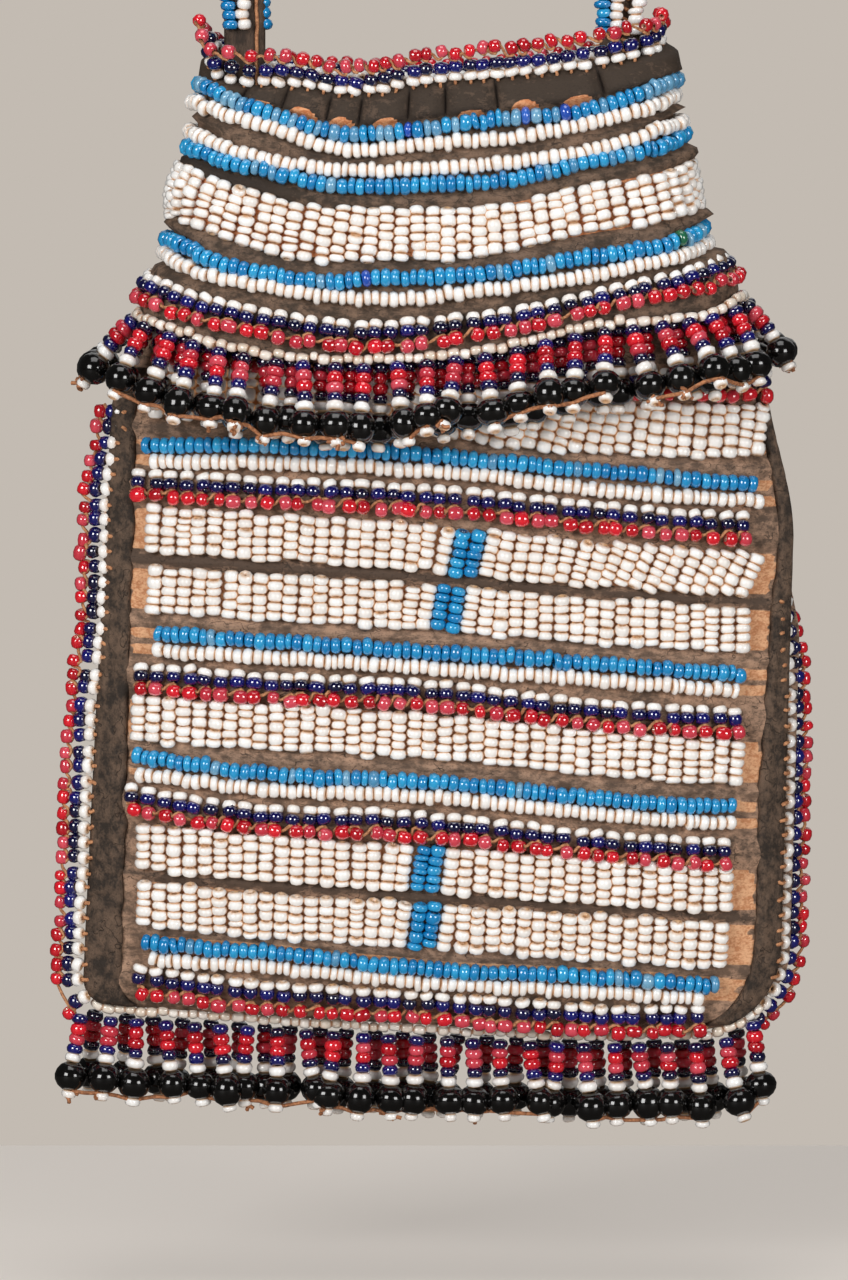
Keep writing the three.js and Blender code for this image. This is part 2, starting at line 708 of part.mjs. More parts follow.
const bag = new THREE.Group();
bag.name = "beaded_tobacco_bag";
bag.add(pouch, cover);
const HANG_Z = ARCH_Z + STRAP_HALF_SPREAD - HALF - CLEAR - BEAD_D;
bag.position.set(-STRAP_X, -STRAP_Y, -HANG_Z);

const root = new THREE.Group();
root.add(bag);

export default root;
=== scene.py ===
"""A beaded hide tobacco bag: pouch, sliding cover and strap, dressed in hide, thread and glass beads.

Sizes are in millimetres in the bag's own layout: x runs to the right from the middle of the bottom seam,
y runs to the back from the seam's plane, and z runs up from the lowest point of the bottom seam.
"""

import bisect
import logging
import math
import random
from dataclasses import dataclass, field, replace
from enum import Enum
from typing import Callable, NamedTuple, Protocol

import bpy
from bpy.types import Material, Mesh, Node, NodeSocket, NodeTree, Object
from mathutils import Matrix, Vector, noise


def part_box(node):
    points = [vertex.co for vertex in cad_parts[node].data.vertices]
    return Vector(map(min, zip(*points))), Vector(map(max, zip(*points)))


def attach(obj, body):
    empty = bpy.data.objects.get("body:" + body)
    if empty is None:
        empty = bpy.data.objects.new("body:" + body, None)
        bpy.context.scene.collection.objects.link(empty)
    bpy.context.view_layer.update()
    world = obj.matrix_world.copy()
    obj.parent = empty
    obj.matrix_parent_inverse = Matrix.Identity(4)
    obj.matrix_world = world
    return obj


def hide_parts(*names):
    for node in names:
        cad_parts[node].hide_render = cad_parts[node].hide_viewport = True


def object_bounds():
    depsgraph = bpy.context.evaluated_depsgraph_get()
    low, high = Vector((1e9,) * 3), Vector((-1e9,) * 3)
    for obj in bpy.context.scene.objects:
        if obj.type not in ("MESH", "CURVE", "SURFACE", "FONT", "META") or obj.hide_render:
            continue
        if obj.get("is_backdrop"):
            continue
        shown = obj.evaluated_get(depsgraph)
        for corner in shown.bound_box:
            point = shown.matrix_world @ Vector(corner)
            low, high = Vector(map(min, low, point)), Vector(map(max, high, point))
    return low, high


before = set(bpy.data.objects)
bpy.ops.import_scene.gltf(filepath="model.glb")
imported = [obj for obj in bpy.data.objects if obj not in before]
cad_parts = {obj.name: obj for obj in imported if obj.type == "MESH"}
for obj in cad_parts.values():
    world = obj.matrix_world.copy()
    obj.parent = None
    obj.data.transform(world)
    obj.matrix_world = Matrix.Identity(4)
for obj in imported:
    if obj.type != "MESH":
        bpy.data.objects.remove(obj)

CAD_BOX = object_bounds()
BLACK = (0.0, 0.0, 0.0, 1.0)
MM = 0.001
SEED = 20
STRAP_X = -0.8
LOG = logging.getLogger("beaded_bag")

Colour = tuple[float, float, float, float]
Curve = Callable[[float], float]
Pairs = list[list[tuple[Vector, Vector]]]
Sockets = dict[str, tuple[str, ...]]
UP = Vector((0.0, 0.0, 1.0))
DOWN = Vector((0.0, 0.0, -1.0))
BACK = Vector((0.0, 1.0, 0.0))


def srgb(red: int, green: int, blue: int) -> Colour:
    """Linear shader colour of an 8-bit one.

    Args:
        red: Red from 0 to 255.
        green: Green from 0 to 255.
        blue: Blue from 0 to 255.

    Returns:
        The colour as a socket takes it.
    """
    def channel(value: int) -> float:
        """Linear value of one 8-bit channel."""
        share = value / 255
        return share / 12.92 if share <= 0.04045 else ((share + 0.055) / 1.055) ** 2.4

    return (channel(red), channel(green), channel(blue), 1.0)


def lerp(start: float, end: float, share: float) -> float:
    """Value at a share of the way from start to end."""
    return start + (end - start) * share


def clamp(value: float, low: float, high: float) -> float:
    """Value kept between low and high."""
    return max(low, min(high, value))


def smooth(low: float, high: float, value: float) -> float:
    """Soft step from 0 at low to 1 at high."""
    share = clamp((value - low) / (high - low), 0.0, 1.0)
    return share * share * (3 - 2 * share)


def ripple(point: Vector, size: float) -> float:
    """Smooth noise from -1 to 1 with features of about the given size."""
    return noise.noise(point / size)


def through(places: tuple[float, ...], values: tuple[float, ...], x: float) -> float:
    """A smooth curve through values at rising places, straight beyond its two ends.

    Args:
        places: Where the values are known.
        values: The values there.
        x: Where the curve is wanted.

    Returns:
        The curve's value.
    """
    i = int(clamp(bisect.bisect_right(places, x), 1, len(places) - 1))
    start, end = places[i - 1], places[i]
    share = (x - start) / (end - start)
    low, high = values[i - 1], values[i]
    if not 0 <= share <= 1:
        return lerp(low, high, share)
    before = values[i - 2] if i > 1 else 2 * low - high
    after = values[i + 1] if i < len(places) - 1 else 2 * high - low
    bend_in, bend_out = (high - before) / 2, (after - low) / 2
    cubic = 2 * share**3 - 3 * share**2
    eased = (share**3 - 2 * share**2 + share) * bend_in + (share**3 - share**2) * bend_out
    return (cubic + 1) * low - cubic * high + eased


class Glass(Enum):
    """Kinds of bead glass. The value is the number that a bead's point carries."""

    WHITE = 0
    BLUE = 1
    RED = 2
    ROSE = 3
    NAVY = 4
    BLACK = 5
    ROYAL = 6
    GREEN = 7
    CLOUDY = 8
    HAZE = 9


class RowKind(Enum):
    """Kinds of bead work."""

    WHITE = "white_row"
    BLUE = "blue_row"
    PICOT = "picot_row"
    LANE = "lane_band"


class Body(Enum):
    """The two bodies that pieces ride on."""

    POUCH = "pouch"
    COVER = "cover"


class Slot(Enum):
    """The record's material slots."""

    POUCH_HIDE = "pouch_hide"
    COVER_HIDE = "cover_hide"
    BINDING_HIDE = "binding_hide"
    STRAP_HIDE = "strap_hide"
    WHITE = "white_beads"
    BLUE = "blue_beads"
    PICOT = "picot_beads"
    FRINGE = "fringe_beads"


ROW_SLOTS = {
    RowKind.WHITE: Slot.WHITE,
    RowKind.BLUE: Slot.BLUE,
    RowKind.PICOT: Slot.PICOT,
    RowKind.LANE: Slot.WHITE,
}


@dataclass(frozen=True)
class Placing:
    """Where the layout's origin lies in the row frame, in metres."""

    x: float
    y: float
    z: float

    @classmethod
    def from_frame(cls) -> "Placing":
        """Reads the place of the bottom seam from the strap and the two pouch walls."""
        strap_low, strap_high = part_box("strap")
        front_low, front_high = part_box("pouch_front")
        back_low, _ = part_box("pouch_back")
        middle = (strap_low[0] + strap_high[0]) / 2
        return cls(middle - STRAP_X * MM, (front_high[1] + back_low[1]) / 2, front_low[2])

    def row(self, point: Vector) -> Vector:
        """A layout point in the row frame, in metres."""
        return Vector((point.x * MM + self.x, point.y * MM + self.y, point.z * MM + self.z))


PLACING = Placing.from_frame()


class NodeDesk:
    """Adds and links nodes in one node tree."""

    def __init__(self, tree: NodeTree) -> None:
        """Takes the tree to work on."""
        self.tree = tree

    def add(self, kind: str, inputs: dict | None = None, **settings: object) -> Node:
        """Adds a node.

        Args:
            kind: The node's type name.
            inputs: Values or output sockets for its inputs, by name or index.
            settings: Properties of the node itself.

        Returns:
            The new node.
        """
        node = self.tree.nodes.new(kind)
        for name, value in settings.items():
            setattr(node, name, value)
        self.fill(node, inputs or {})
        return node

    def fill(self, node: Node, inputs: dict) -> None:
        """Feeds several inputs of a node, by name or index."""
        for key, value in inputs.items():
            self.feed(node, key, value)

    def feed(self, node: Node, key: str | int, value: object) -> None:
        """Links an output socket to an input, or sets the input's value."""
        if isinstance(key, int):
            socket = node.inputs[key]
        else:
            socket = next(s for s in node.inputs if s.enabled and s.name == key)
        if isinstance(value, NodeSocket):
            self.tree.links.new(value, socket)
        else:
            socket.default_value = value

    def out(self, kind: str, inputs: dict | None = None, **settings: object) -> NodeSocket:
        """Adds a node and gives its first live output."""
        node = self.add(kind, inputs, **settings)
        return next(s for s in node.outputs if s.enabled)

    def mix(self, share: object, first: object, second: object) -> NodeSocket:
        """Mixes two colours."""
        return self.out("ShaderNodeMix", {"Factor": share, "A": first, "B": second}, data_type="RGBA")

    def maths(self, operation: str, *values: object) -> NodeSocket:
        """Does one sum on two or three values, kept from 0 to 1."""
        return self.out("ShaderNodeMath", dict(enumerate(values)), operation=operation, use_clamp=True)

    def range(self, value: object, low: object, high: object) -> NodeSocket:
        """Soft step of a value from 0 at low to 1 at high."""
        inputs = {"Value": value, "From Min": low, "From Max": high}
        return self.out("ShaderNodeMapRange", inputs, interpolation_type="SMOOTHSTEP")

    def grain(self, vector: object, size: float, detail: float = 3.0) -> NodeSocket:
        """Noise value with features of about the given size in millimetres."""
        inputs = {"Vector": vector, "Scale": 1 / (size * MM), "Detail": detail, "Roughness": 0.6}
        return self.out("ShaderNodeTexNoise", inputs)

    def attribute(self, name: str) -> NodeSocket:
        """A value that the mesh carries."""
        return self.add("ShaderNodeAttribute", attribute_name=name).outputs["Fac"]

    def named(self, name: str, kind: str) -> NodeSocket:
        """A value of a kind that each point carries, for a geometry tree."""
        return self.out("GeometryNodeInputNamedAttribute", {"Name": name}, data_type=kind)

    def declare(self, way: str, sockets: Sockets) -> None:
        """Gives the tree its inputs or its outputs, listed by socket type."""
        for kind, names in sockets.items():
            for name in names:
                self.tree.interface.new_socket(name, in_out=way, socket_type=f"NodeSocket{kind}")


class GroupDesk(NodeDesk):
    """A new shader node group with named inputs and outputs."""

    def __init__(self, name: str, takes: Sockets, gives: Sockets) -> None:
        """Makes the group.

        Args:
            name: The group's name.
            takes: Its inputs, by socket type.
            gives: Its outputs, by socket type.
        """
        super().__init__(bpy.data.node_groups.new(name, "ShaderNodeTree"))
        self.declare("INPUT", takes)
        self.declare("OUTPUT", gives)
        self.inputs = self.add("NodeGroupInput").outputs
        self.results = self.add("NodeGroupOutput")
        self.place = self.add("ShaderNodeTexCoord").outputs["Object"]


def bead_glass_group() -> NodeTree:
    """Colour, polish and pits of old bead glass, shared by every bead finish, with tan grime in the crevices
    that ambient occlusion finds and a painted glow there that lightens their shade.
    """
    takes = {"Color": ("Pale", "Deep", "End"), "Float": ("End Start", "Gloss", "Wear", "Grime")}
    desk = GroupDesk("bead_glass", takes, {"Color": ("Color", "Glow"), "Float": ("Polish", "Pits")})
    cloud = desk.grain(desk.place, 1.6)
    speck = desk.grain(desk.place, 0.35)
    shade = desk.maths("MULTIPLY_ADD", cloud, 0.5, -0.25)
    tone = desk.maths("ADD", desk.attribute("tone"), shade)
    glass = desk.mix(tone, desk.inputs["Pale"], desk.inputs["Deep"])
    rim = desk.range(desk.attribute("along"), desk.inputs["End Start"], 1.0)
    stain = desk.maths("MULTIPLY", rim, desk.range(cloud, 0.15, 0.6))
    # Ambient occlusion marks the crevices between beads. There the colour turns to the tan end colour as
    # grime, and the same mask feeds a painted glow that lightens the crevices' shade.
    crowded = desk.add("ShaderNodeAmbientOcclusion", {"Distance": 0.7 * MM}, samples=6, only_local=True)
    crevice_grime_and_glow = desk.maths("MULTIPLY", desk.range(crowded.outputs["AO"], 0.7, 0.25), desk.inputs["Grime"])
    stained = desk.mix(stain, glass, desk.inputs["End"])
    desk.feed(desk.results, "Color", desk.mix(crevice_grime_and_glow, stained, desk.inputs["End"]))
    # Painted glow: emission in the crevices, painted light against their shade.
    desk.feed(desk.results, "Glow", desk.mix(crevice_grime_and_glow, BLACK, desk.inputs["End"]))
    worn = desk.maths("MULTIPLY", desk.range(speck, 0.35, 0.75), desk.inputs["Wear"])
    desk.feed(desk.results, "Polish", desk.maths("ADD", worn, desk.inputs["Gloss"]))
    desk.feed(desk.results, "Pits", desk.grain(desk.place, 0.5))
    return desk.tree


def hide_group() -> NodeTree:
    """Colour and relief of worn hide, with bare suede where the mesh says so and painted shade, in the crack
    colour, where its wear mark goes far below zero.
    """
    colours = ("Dark", "Light", "Crack", "Suede", "Suede Light")
    takes = {"Color": colours, "Float": ("Fading", "Grain Across", "Grain Up")}
    desk = GroupDesk("worn_hide", takes, {"Color": ("Color",), "Float": ("Relief",)})
    stretch = {"X": desk.inputs["Grain Across"], "Y": 1.0, "Z": desk.inputs["Grain Up"]}
    drawn = {0: desk.place, 1: desk.out("ShaderNodeCombineXYZ", stretch)}
    drawn_place = desk.out("ShaderNodeVectorMath", drawn, operation="MULTIPLY")
    blotch = desk.grain(desk.place, 5.0)
    mottle = desk.grain(drawn_place, 1.2, 4.0)
    fine = desk.grain(drawn_place, 0.36, 2.0)
    crease = desk.grain(drawn_place, 3.4, 2.0)
    crack = desk.maths("SUBTRACT", desk.range(crease, 0.488, 0.5), desk.range(crease, 0.5, 0.512))
    crack = desk.maths("MULTIPLY", crack, desk.range(blotch, 0.48, 0.56))
    broad = desk.maths("ADD", desk.maths("MULTIPLY", blotch, 0.4), desk.maths("MULTIPLY", mottle, 0.38))
    uneven = desk.maths("ADD", broad, desk.maths("MULTIPLY", fine, 0.22))
    patch = desk.maths("MULTIPLY", desk.range(uneven, 0.41, 0.6), desk.inputs["Fading"])
    # The wear mark holds wear and, below zero, painted shade.
    wear = desk.attribute("wear")
    hide = desk.mix(desk.maths("ADD", patch, wear), desk.inputs["Dark"], desk.inputs["Light"])
    # Painted shade: a wear mark far below zero turns the hide to the crack colour.
    hide = desk.mix(desk.range(wear, -0.6, -1.5), hide, desk.inputs["Crack"])
    hide = desk.mix(desk.maths("MULTIPLY", desk.range(fine, 0.54, 0.7), 0.55), hide, desk.inputs["Crack"])
    hide = desk.mix(desk.maths("MULTIPLY", crack, 0.85), hide, desk.inputs["Crack"])
    fibre = desk.maths("ADD", desk.maths("MULTIPLY", fine, 0.5), desk.maths("MULTIPLY", mottle, 0.5))
    suede = desk.mix(desk.range(fibre, 0.4, 0.6), desk.inputs["Suede"], desk.inputs["Suede Light"])
    ragged = desk.maths("MULTIPLY_ADD", mottle, 0.6, -0.3)
    torn = desk.range(desk.maths("ADD", desk.attribute("suede"), ragged), 0.4, 0.58)
    desk.feed(desk.results, "Color", desk.mix(torn, hide, suede))
    relief = desk.maths("MULTIPLY_ADD", fine, 0.35, desk.maths("MULTIPLY", mottle, 0.45))
    desk.feed(desk.results, "Relief", desk.maths("SUBTRACT", relief, desk.maths("MULTIPLY", crack, 0.3)))
    return desk.tree


def shader_of(material: Material) -> Node:
    """The material's own Principled shader."""
    return next(n for n in material.node_tree.nodes if n.type == "BSDF_PRINCIPLED")


def new_material(name: str) -> tuple[Material, NodeDesk, Node]:
    """A new node material with its desk and its shader."""
    material = bpy.data.materials.new(name)
    material.use_nodes = True
    return material, NodeDesk(material.node_tree), shader_of(material)


@dataclass(frozen=True)
class GlassFinish:
    """One colour of old bead glass."""

    name: str
    pale: Colour
    deep: Colour
    end: Colour
    end_start: float = 0.72
    gloss: float = 0.1
    wear: float = 0.16
    coat: float = 0.5
    pits: float = 0.05
    shine: float = 0.8
    # Strength of the tan grime in the crevices, which also colours the painted glow there.
    crevice_grime_and_glow: float = 0.0
    # Emission strength of the painted glow that lightens the crevices' shade.
    painted_glow: float = 0.0
    pit_depth: float = 0.3
    coat_roughness: float = 0.04
    coat_ior: float = 1.75

    def material(self, group: NodeTree) -> Material:
        """The finish as a material.

        Args:
            group: The shared bead glass group.

        Returns:
            The new material.
        """
        material, desk, shader = new_material(self.name)
        values = {"Pale": self.pale, "Deep": self.deep, "End": self.end, "End Start": self.end_start,
                  "Gloss": self.gloss, "Wear": self.wear, "Grime": self.crevice_grime_and_glow}
        glass = desk.add("ShaderNodeGroup", values, node_tree=group).outputs
        pits = {"Height": glass["Pits"], "Strength": self.pits, "Distance": self.pit_depth * MM}
        desk.fill(shader, {
            "Base Color": glass["Color"],
            "Roughness": glass["Polish"],
            "Normal": desk.out("ShaderNodeBump", pits),
            "Coat Weight": self.coat,
            "Coat Roughness": self.coat_roughness,
            "Coat IOR": self.coat_ior,
            "Specular IOR Level": self.shine,
        })
        # Painted glow: emission that lightens the shaded crevices between beads.
        if self.painted_glow:
            desk.fill(shader, {"Emission Color": glass["Glow"], "Emission Strength": self.painted_glow})
        return material


@dataclass(frozen=True)
class HideFinish:
    """Worn, smoked hide."""

    name: str
    dark: Colour
    light: Colour
    # Colour of cracks and specks, also used for painted shade.
    crack: Colour = srgb(50, 41, 35)
    suede: Colour = srgb(190, 130, 90)
    suede_light: Colour = srgb(224, 174, 134)
    fading: float = 0.9
    grain: tuple[float, float] = (0.7, 1.2)
    relief: float = 0.5
    relief_depth: float = 0.5
    roughness: float = 0.75
    shine: float = 0.3

    def material(self, group: NodeTree) -> Material:
        """The finish as a material.

        Args:
            group: The shared hide group.

        Returns:
            The new material.
        """
        material, desk, shader = new_material(self.name)
        values = {"Dark": self.dark, "Light": self.light, "Crack": self.crack, "Suede": self.suede,
                  "Suede Light": self.suede_light, "Fading": self.fading, "Grain Across": self.grain[0],
                  "Grain Up": self.grain[1]}
        hide = desk.add("ShaderNodeGroup", values, node_tree=group).outputs
        relief = {"Height": hide["Relief"], "Strength": self.relief, "Distance": self.relief_depth * MM}
        desk.fill(shader, {
            "Base Color": hide["Color"],
            "Normal": desk.out("ShaderNodeBump", relief),
            "Roughness": self.roughness,
            "Specular IOR Level": self.shine,
        })
        return material


@dataclass(frozen=True)
class ThreadFinish:
    """Tan sinew thread."""

    name: str
    light: Colour
    dark: Colour
    strand: float = 0.5
    relief_depth: float = 0.2
    roughness: float = 0.7

    def material(self) -> Material:
        """The finish as a material."""
        material, desk, shader = new_material(self.name)
        place = desk.add("ShaderNodeTexCoord").outputs["Object"]
        strand = desk.grain(place, self.strand)
        relief = {"Height": strand, "Strength": 0.5, "Distance": self.relief_depth * MM}
        desk.fill(shader, {
            "Base Color": desk.mix(desk.range(strand, 0.35, 0.65), self.dark, self.light),
            "Normal": desk.out("ShaderNodeBump", relief),
            "Roughness": self.roughness,
        })
        return material


GLASS = {
    # White glass takes tan crevice grime and a painted glow that lightens the shade in its crevices.
    Glass.WHITE: GlassFinish(
        "white_glass", srgb(248, 248, 247), srgb(238, 234, 230), srgb(214, 172, 130),
        end_start=0.5, coat=0.35, shine=0.5, crevice_grime_and_glow=0.85, painted_glow=0.22),
    Glass.BLUE: GlassFinish(
        "blue_glass", srgb(44, 164, 220), srgb(12, 124, 188), srgb(14, 62, 104), end_start=0.8),
    Glass.RED: GlassFinish(
        "red_glass", srgb(226, 30, 46), srgb(172, 11, 26), srgb(216, 164, 142),
        end_start=0.93, gloss=0.05, wear=0.06, coat=0.9, pits=0.02),
    Glass.ROSE: GlassFinish(
        "rose_glass", srgb(218, 78, 94), srgb(192, 44, 60), srgb(222, 180, 156),
        end_start=0.92, gloss=0.08, wear=0.1, coat=0.7, pits=0.03),
    Glass.NAVY: GlassFinish(
        "navy_glass", srgb(14, 17, 108), srgb(3, 4, 42), srgb(8, 8, 40),
        end_start=0.9, gloss=0.04, wear=0.05, coat=1.0, pits=0.02),
    Glass.BLACK: GlassFinish(
        "black_glass", srgb(13, 12, 11), srgb(7, 6, 6), srgb(44, 37, 32),
        end_start=0.8, gloss=0.08, wear=0.14, coat=0.25, pits=0.03, shine=0.5),
    Glass.ROYAL: GlassFinish(
        "royal_glass", srgb(54, 106, 204), srgb(30, 74, 176), srgb(18, 40, 104), end_start=0.8),
    Glass.GREEN: GlassFinish(
        "green_glass", srgb(58, 136, 100), srgb(34, 104, 74), srgb(16, 52, 38), end_start=0.8),
    # Cloudy glass takes tan crevice grime and a painted glow that lightens the shade in its crevices.
    Glass.CLOUDY: GlassFinish(
        "cloudy_glass", srgb(251, 247, 240), srgb(224, 209, 190), srgb(186, 140, 104),
        end_start=0.5, shine=0.6, crevice_grime_and_glow=0.9, painted_glow=0.2),
    Glass.HAZE: GlassFinish(
        "haze_glass", srgb(118, 172, 204), srgb(70, 142, 188), srgb(36, 84, 122), end_start=0.8, gloss=0.2),
}
POUCH_HIDE = HideFinish("pouch_hide", srgb(84, 68, 57), srgb(176, 142, 118))
COVER_HIDE = HideFinish("cover_hide", srgb(62, 51, 42), srgb(132, 107, 89), suede=srgb(190, 114, 70),
                        suede_light=srgb(226, 160, 114))
BINDING_HIDE = HideFinish("binding_hide", srgb(46, 38, 32), srgb(104, 84, 69), grain=(1.0, 0.8), relief=0.9)
STRAP_HIDE = HideFinish("strap_hide", srgb(54, 44, 37), srgb(96, 78, 65), grain=(1.6, 0.5))
THREAD = ThreadFinish("sinew_thread", srgb(200, 143, 100), srgb(148, 96, 62))
CORD = ThreadFinish("fringe_cord", srgb(186, 124, 82), srgb(126, 78, 48))


class Surface(Protocol):
    """Anything that bead work can be laid on."""

    def place(self, across: float, down: float, out: float) -> Vector:
        """The layout point at a distance along, a distance down and a height off the surface."""


@dataclass(frozen=True)
class PouchForm:
    """The pouch's shape: two walls that bulge between sewn sides and a sewn bottom."""

    half_width: float = 56.3
    taper: float = 0.014
    shift: float = -1.6
    lean: float = 0.038
    left_corner: float = 4.5
    right_corner: float = 13.5
    seam_low_x: float = 25.0
    seam_rise: float = 4.5
    seam_bend: float = 1.3
    bulge: float = 7.6
    mouth_bulge: float = 5.4
    bulge_rise: float = 38.0
    shoulder_z: float = 99.8
    mouth_z: float = 123.8
    shoulder_in: float = 14.8
    right_in: float = 5.2
    right_in_levels: tuple[float, float] = (80.0, 108.0)
    hide: float = 1.3
    seam_half_gap: float = 0.15

    def corner(self, side: int) -> float:
        """Radius of the bottom corner on the left (-1) or the right (1)."""
        return self.left_corner if side < 0 else self.right_corner

    def half_width_at(self, level: float, side: int) -> float:
        """Half width at a level above the seam, on one side."""
        above = max(0.0, (level - self.shoulder_z) / (self.mouth_z - self.shoulder_z))
        radius = self.corner(side)
        below = max(0.0, radius - max(0.0, level))
        rounding = radius - math.sqrt(radius**2 - below**2)
        drawn_in = self.right_in * smooth(*self.right_in_levels, level) * (1 - above) if side > 0 else 0.0
        return self.half_width - self.taper * level - self.shoulder_in * above**1.5 - rounding - drawn_in

    def centre(self, level: float) -> float:
        """Place of the centre line at a level."""
        return self.shift + self.lean * min(level, self.shoulder_z)

    def edge_x(self, level: float, side: int) -> float:
        """Place of the side seam at a level."""
        return self.centre(level) + side * self.half_width_at(level, side)

    def rise(self, x: float) -> float:
        """How far the bottom seam lies above its lowest point."""
        share = max(0.0, self.seam_low_x - x) / (self.seam_low_x + self.half_width)
        return self.seam_rise * share**self.seam_bend

    def raised(self, x: float, level: float) -> float:
        """Height of a level above the seam."""
        return level + self.rise(x) * (1 - level / self.mouth_z)

    def level(self, x: float, z: float) -> float:
        """Level above the seam of a height."""
        return (z - self.rise(x)) / (1 - self.rise(x) / self.mouth_z)

    def corner_x(self, side: int) -> float:
        """Centre of a bottom corner's arc."""
        radius = self.corner(side)
        return self.edge_x(radius, side) - side * radius

    def bottom_edge(self, x: float) -> float:
        """Height of the bottom edge, along the seam and round both corners."""
        side = -1 if x < 0 else 1
        radius = self.corner(side)
        past = clamp(side * (x - self.corner_x(side)), 0.0, radius)
        return self.raised(x, radius - math.sqrt(radius**2 - past**2))

    def depth(self, x: float, z: float) -> float:
        """Distance of a wall's outer face from the seam's plane."""
        level = self.level(x, z)
        off = x - self.centre(level)
        across = min(1.0, abs(off) / self.half_width_at(level, -1 if off < 0 else 1))
        filling = 1 - max(0.0, 1 - level / self.bulge_rise) ** 3
        narrowing = smooth(2 * self.shoulder_z - self.mouth_z, self.mouth_z, level)
        full = lerp(self.bulge, self.mouth_bulge, narrowing)
        return self.seam_half_gap + full * filling * (1 - across**4) + self.hide

    def place(self, across: float, down: float, out: float) -> Vector:
        """A point off the front: across is x, down is minus z."""
        step = 0.4
        middle = Vector((across, -self.depth(across, -down), -down))
        along = Vector((2 * step, self.depth(across - step, -down) - self.depth(across + step, -down), 0.0))
        upward = Vector((0.0, self.depth(across, -down - step) - self.depth(across, -down + step), 2 * step))
        return middle + along.cross(upward).normalized() * out


@dataclass(frozen=True)
class SeamEdge:
    """A side seam as a surface: across runs down the edge, down runs outward, out faces the front."""

    form: PouchForm
    side: int
    fold: float
    fold_top: float
    tuck: float
    fold_run: tuple[float, float] = (20.0, 42.0)
    top: float = 99.0

    def place(self, across: float, down: float, out: float) -> Vector:
        """A point off the side seam."""
        shown = smooth(*self.fold_run, across)
        fold = math.radians(lerp(self.fold_top, self.fold, shown))
        radius = self.form.corner(self.side)
        straight = self.top - radius
        turn = max(0.0, across - straight) / radius
        level = self.top - min(across, straight)
        x = self.form.edge_x(level, self.side)
        outward = Vector((self.side * math.cos(turn), 0.0, -math.sin(turn)))
        if turn > 0:
            x = self.form.corner_x(self.side) + radius * outward.x
            level = radius + radius * outward.z
        base = Vector((x - self.side * lerp(self.tuck, 0.0, shown), 0.0, self.form.raised(x, level)))
        return base + outward * down * math.cos(fold) + BACK * (down * math.sin(fold) - out)


@dataclass(frozen=True)
class Course:
    """One line of work round the cover.

    Attributes:
        slant: Its distance from the cone's apex.
        sags: How far it hangs below that line on the front, at seven places from left to right.
        sink: How deep it sits in the hide at the left and at the right side.
        kind: The kind of bead work, or None for the rim's own edge.
        number: The row's number among its kind.
    """

    slant: float
    sags: tuple[float, float, float, float, float, float, float]
    sink: tuple[float, float]
    kind: RowKind | None = None
    number: int = 1

    def sag(self, x: float) -> float:
        """How far the course hangs below its line at a place on the front."""
        places = (-40.0, -30.0, -20.0, -8.0, 8.0, 24.0, 40.0)
        return through(places, self.sags, clamp(x, places[0], places[-1]))


COURSES = (
    Course(137.0, (5.6, 3.0, 0.3, 0.4, 0.1, 0.8, 1.6), (0.0, 1.4)),
    Course(143.75, (-1.2, -0.6, 0.4, 0.9, 0.2, 0.5, -0.6), (1.45, 2.0), RowKind.BLUE, 1),
    Course(146.3, (-1.0, -0.9, 0.4, 0.8, 0.5, 0.2, -0.5), (0.9, 2.9), RowKind.WHITE, 1),
    Course(150.2, (0.2, 0.6, 0.9, 0.6, 0.7, 0.5, 0.1), (1.3, 2.8), RowKind.WHITE, 2),
    Course(152.7, (0.0, 0.0, 0.8, 0.8, 0.8, 0.0, -0.1), (1.8, 3.1), RowKind.BLUE, 2),
    Course(160.5, (-1.1, 0.1, 1.0, 0.9, 0.4, -0.6, 0.3), (0.8, 2.9), RowKind.LANE, 1),
    Course(167.6, (0.2, 1.0, 1.6, 0.5, 0.2, -0.1, 0.6), (2.4, 3.9), RowKind.BLUE, 3),
    Course(170.2, (0.1, 0.5, 1.1, 1.1, 0.3, 0.0, 0.3), (2.5, 4.0), RowKind.WHITE, 3),
    Course(173.5, (0.5, 1.0, 1.6, 1.7, 0.8, -0.4, -0.5), (1.0, 2.4)),
    Course(177.2, (0.2, 1.0, 1.6, 1.6, 0.1, -1.4, -1.3), (0.5, 1.6), RowKind.PICOT, 1),
    Course(179.3, (1.1, 1.9, 1.9, 1.6, 0.5, -0.9, 0.8), (0.3, 1.0)),
)


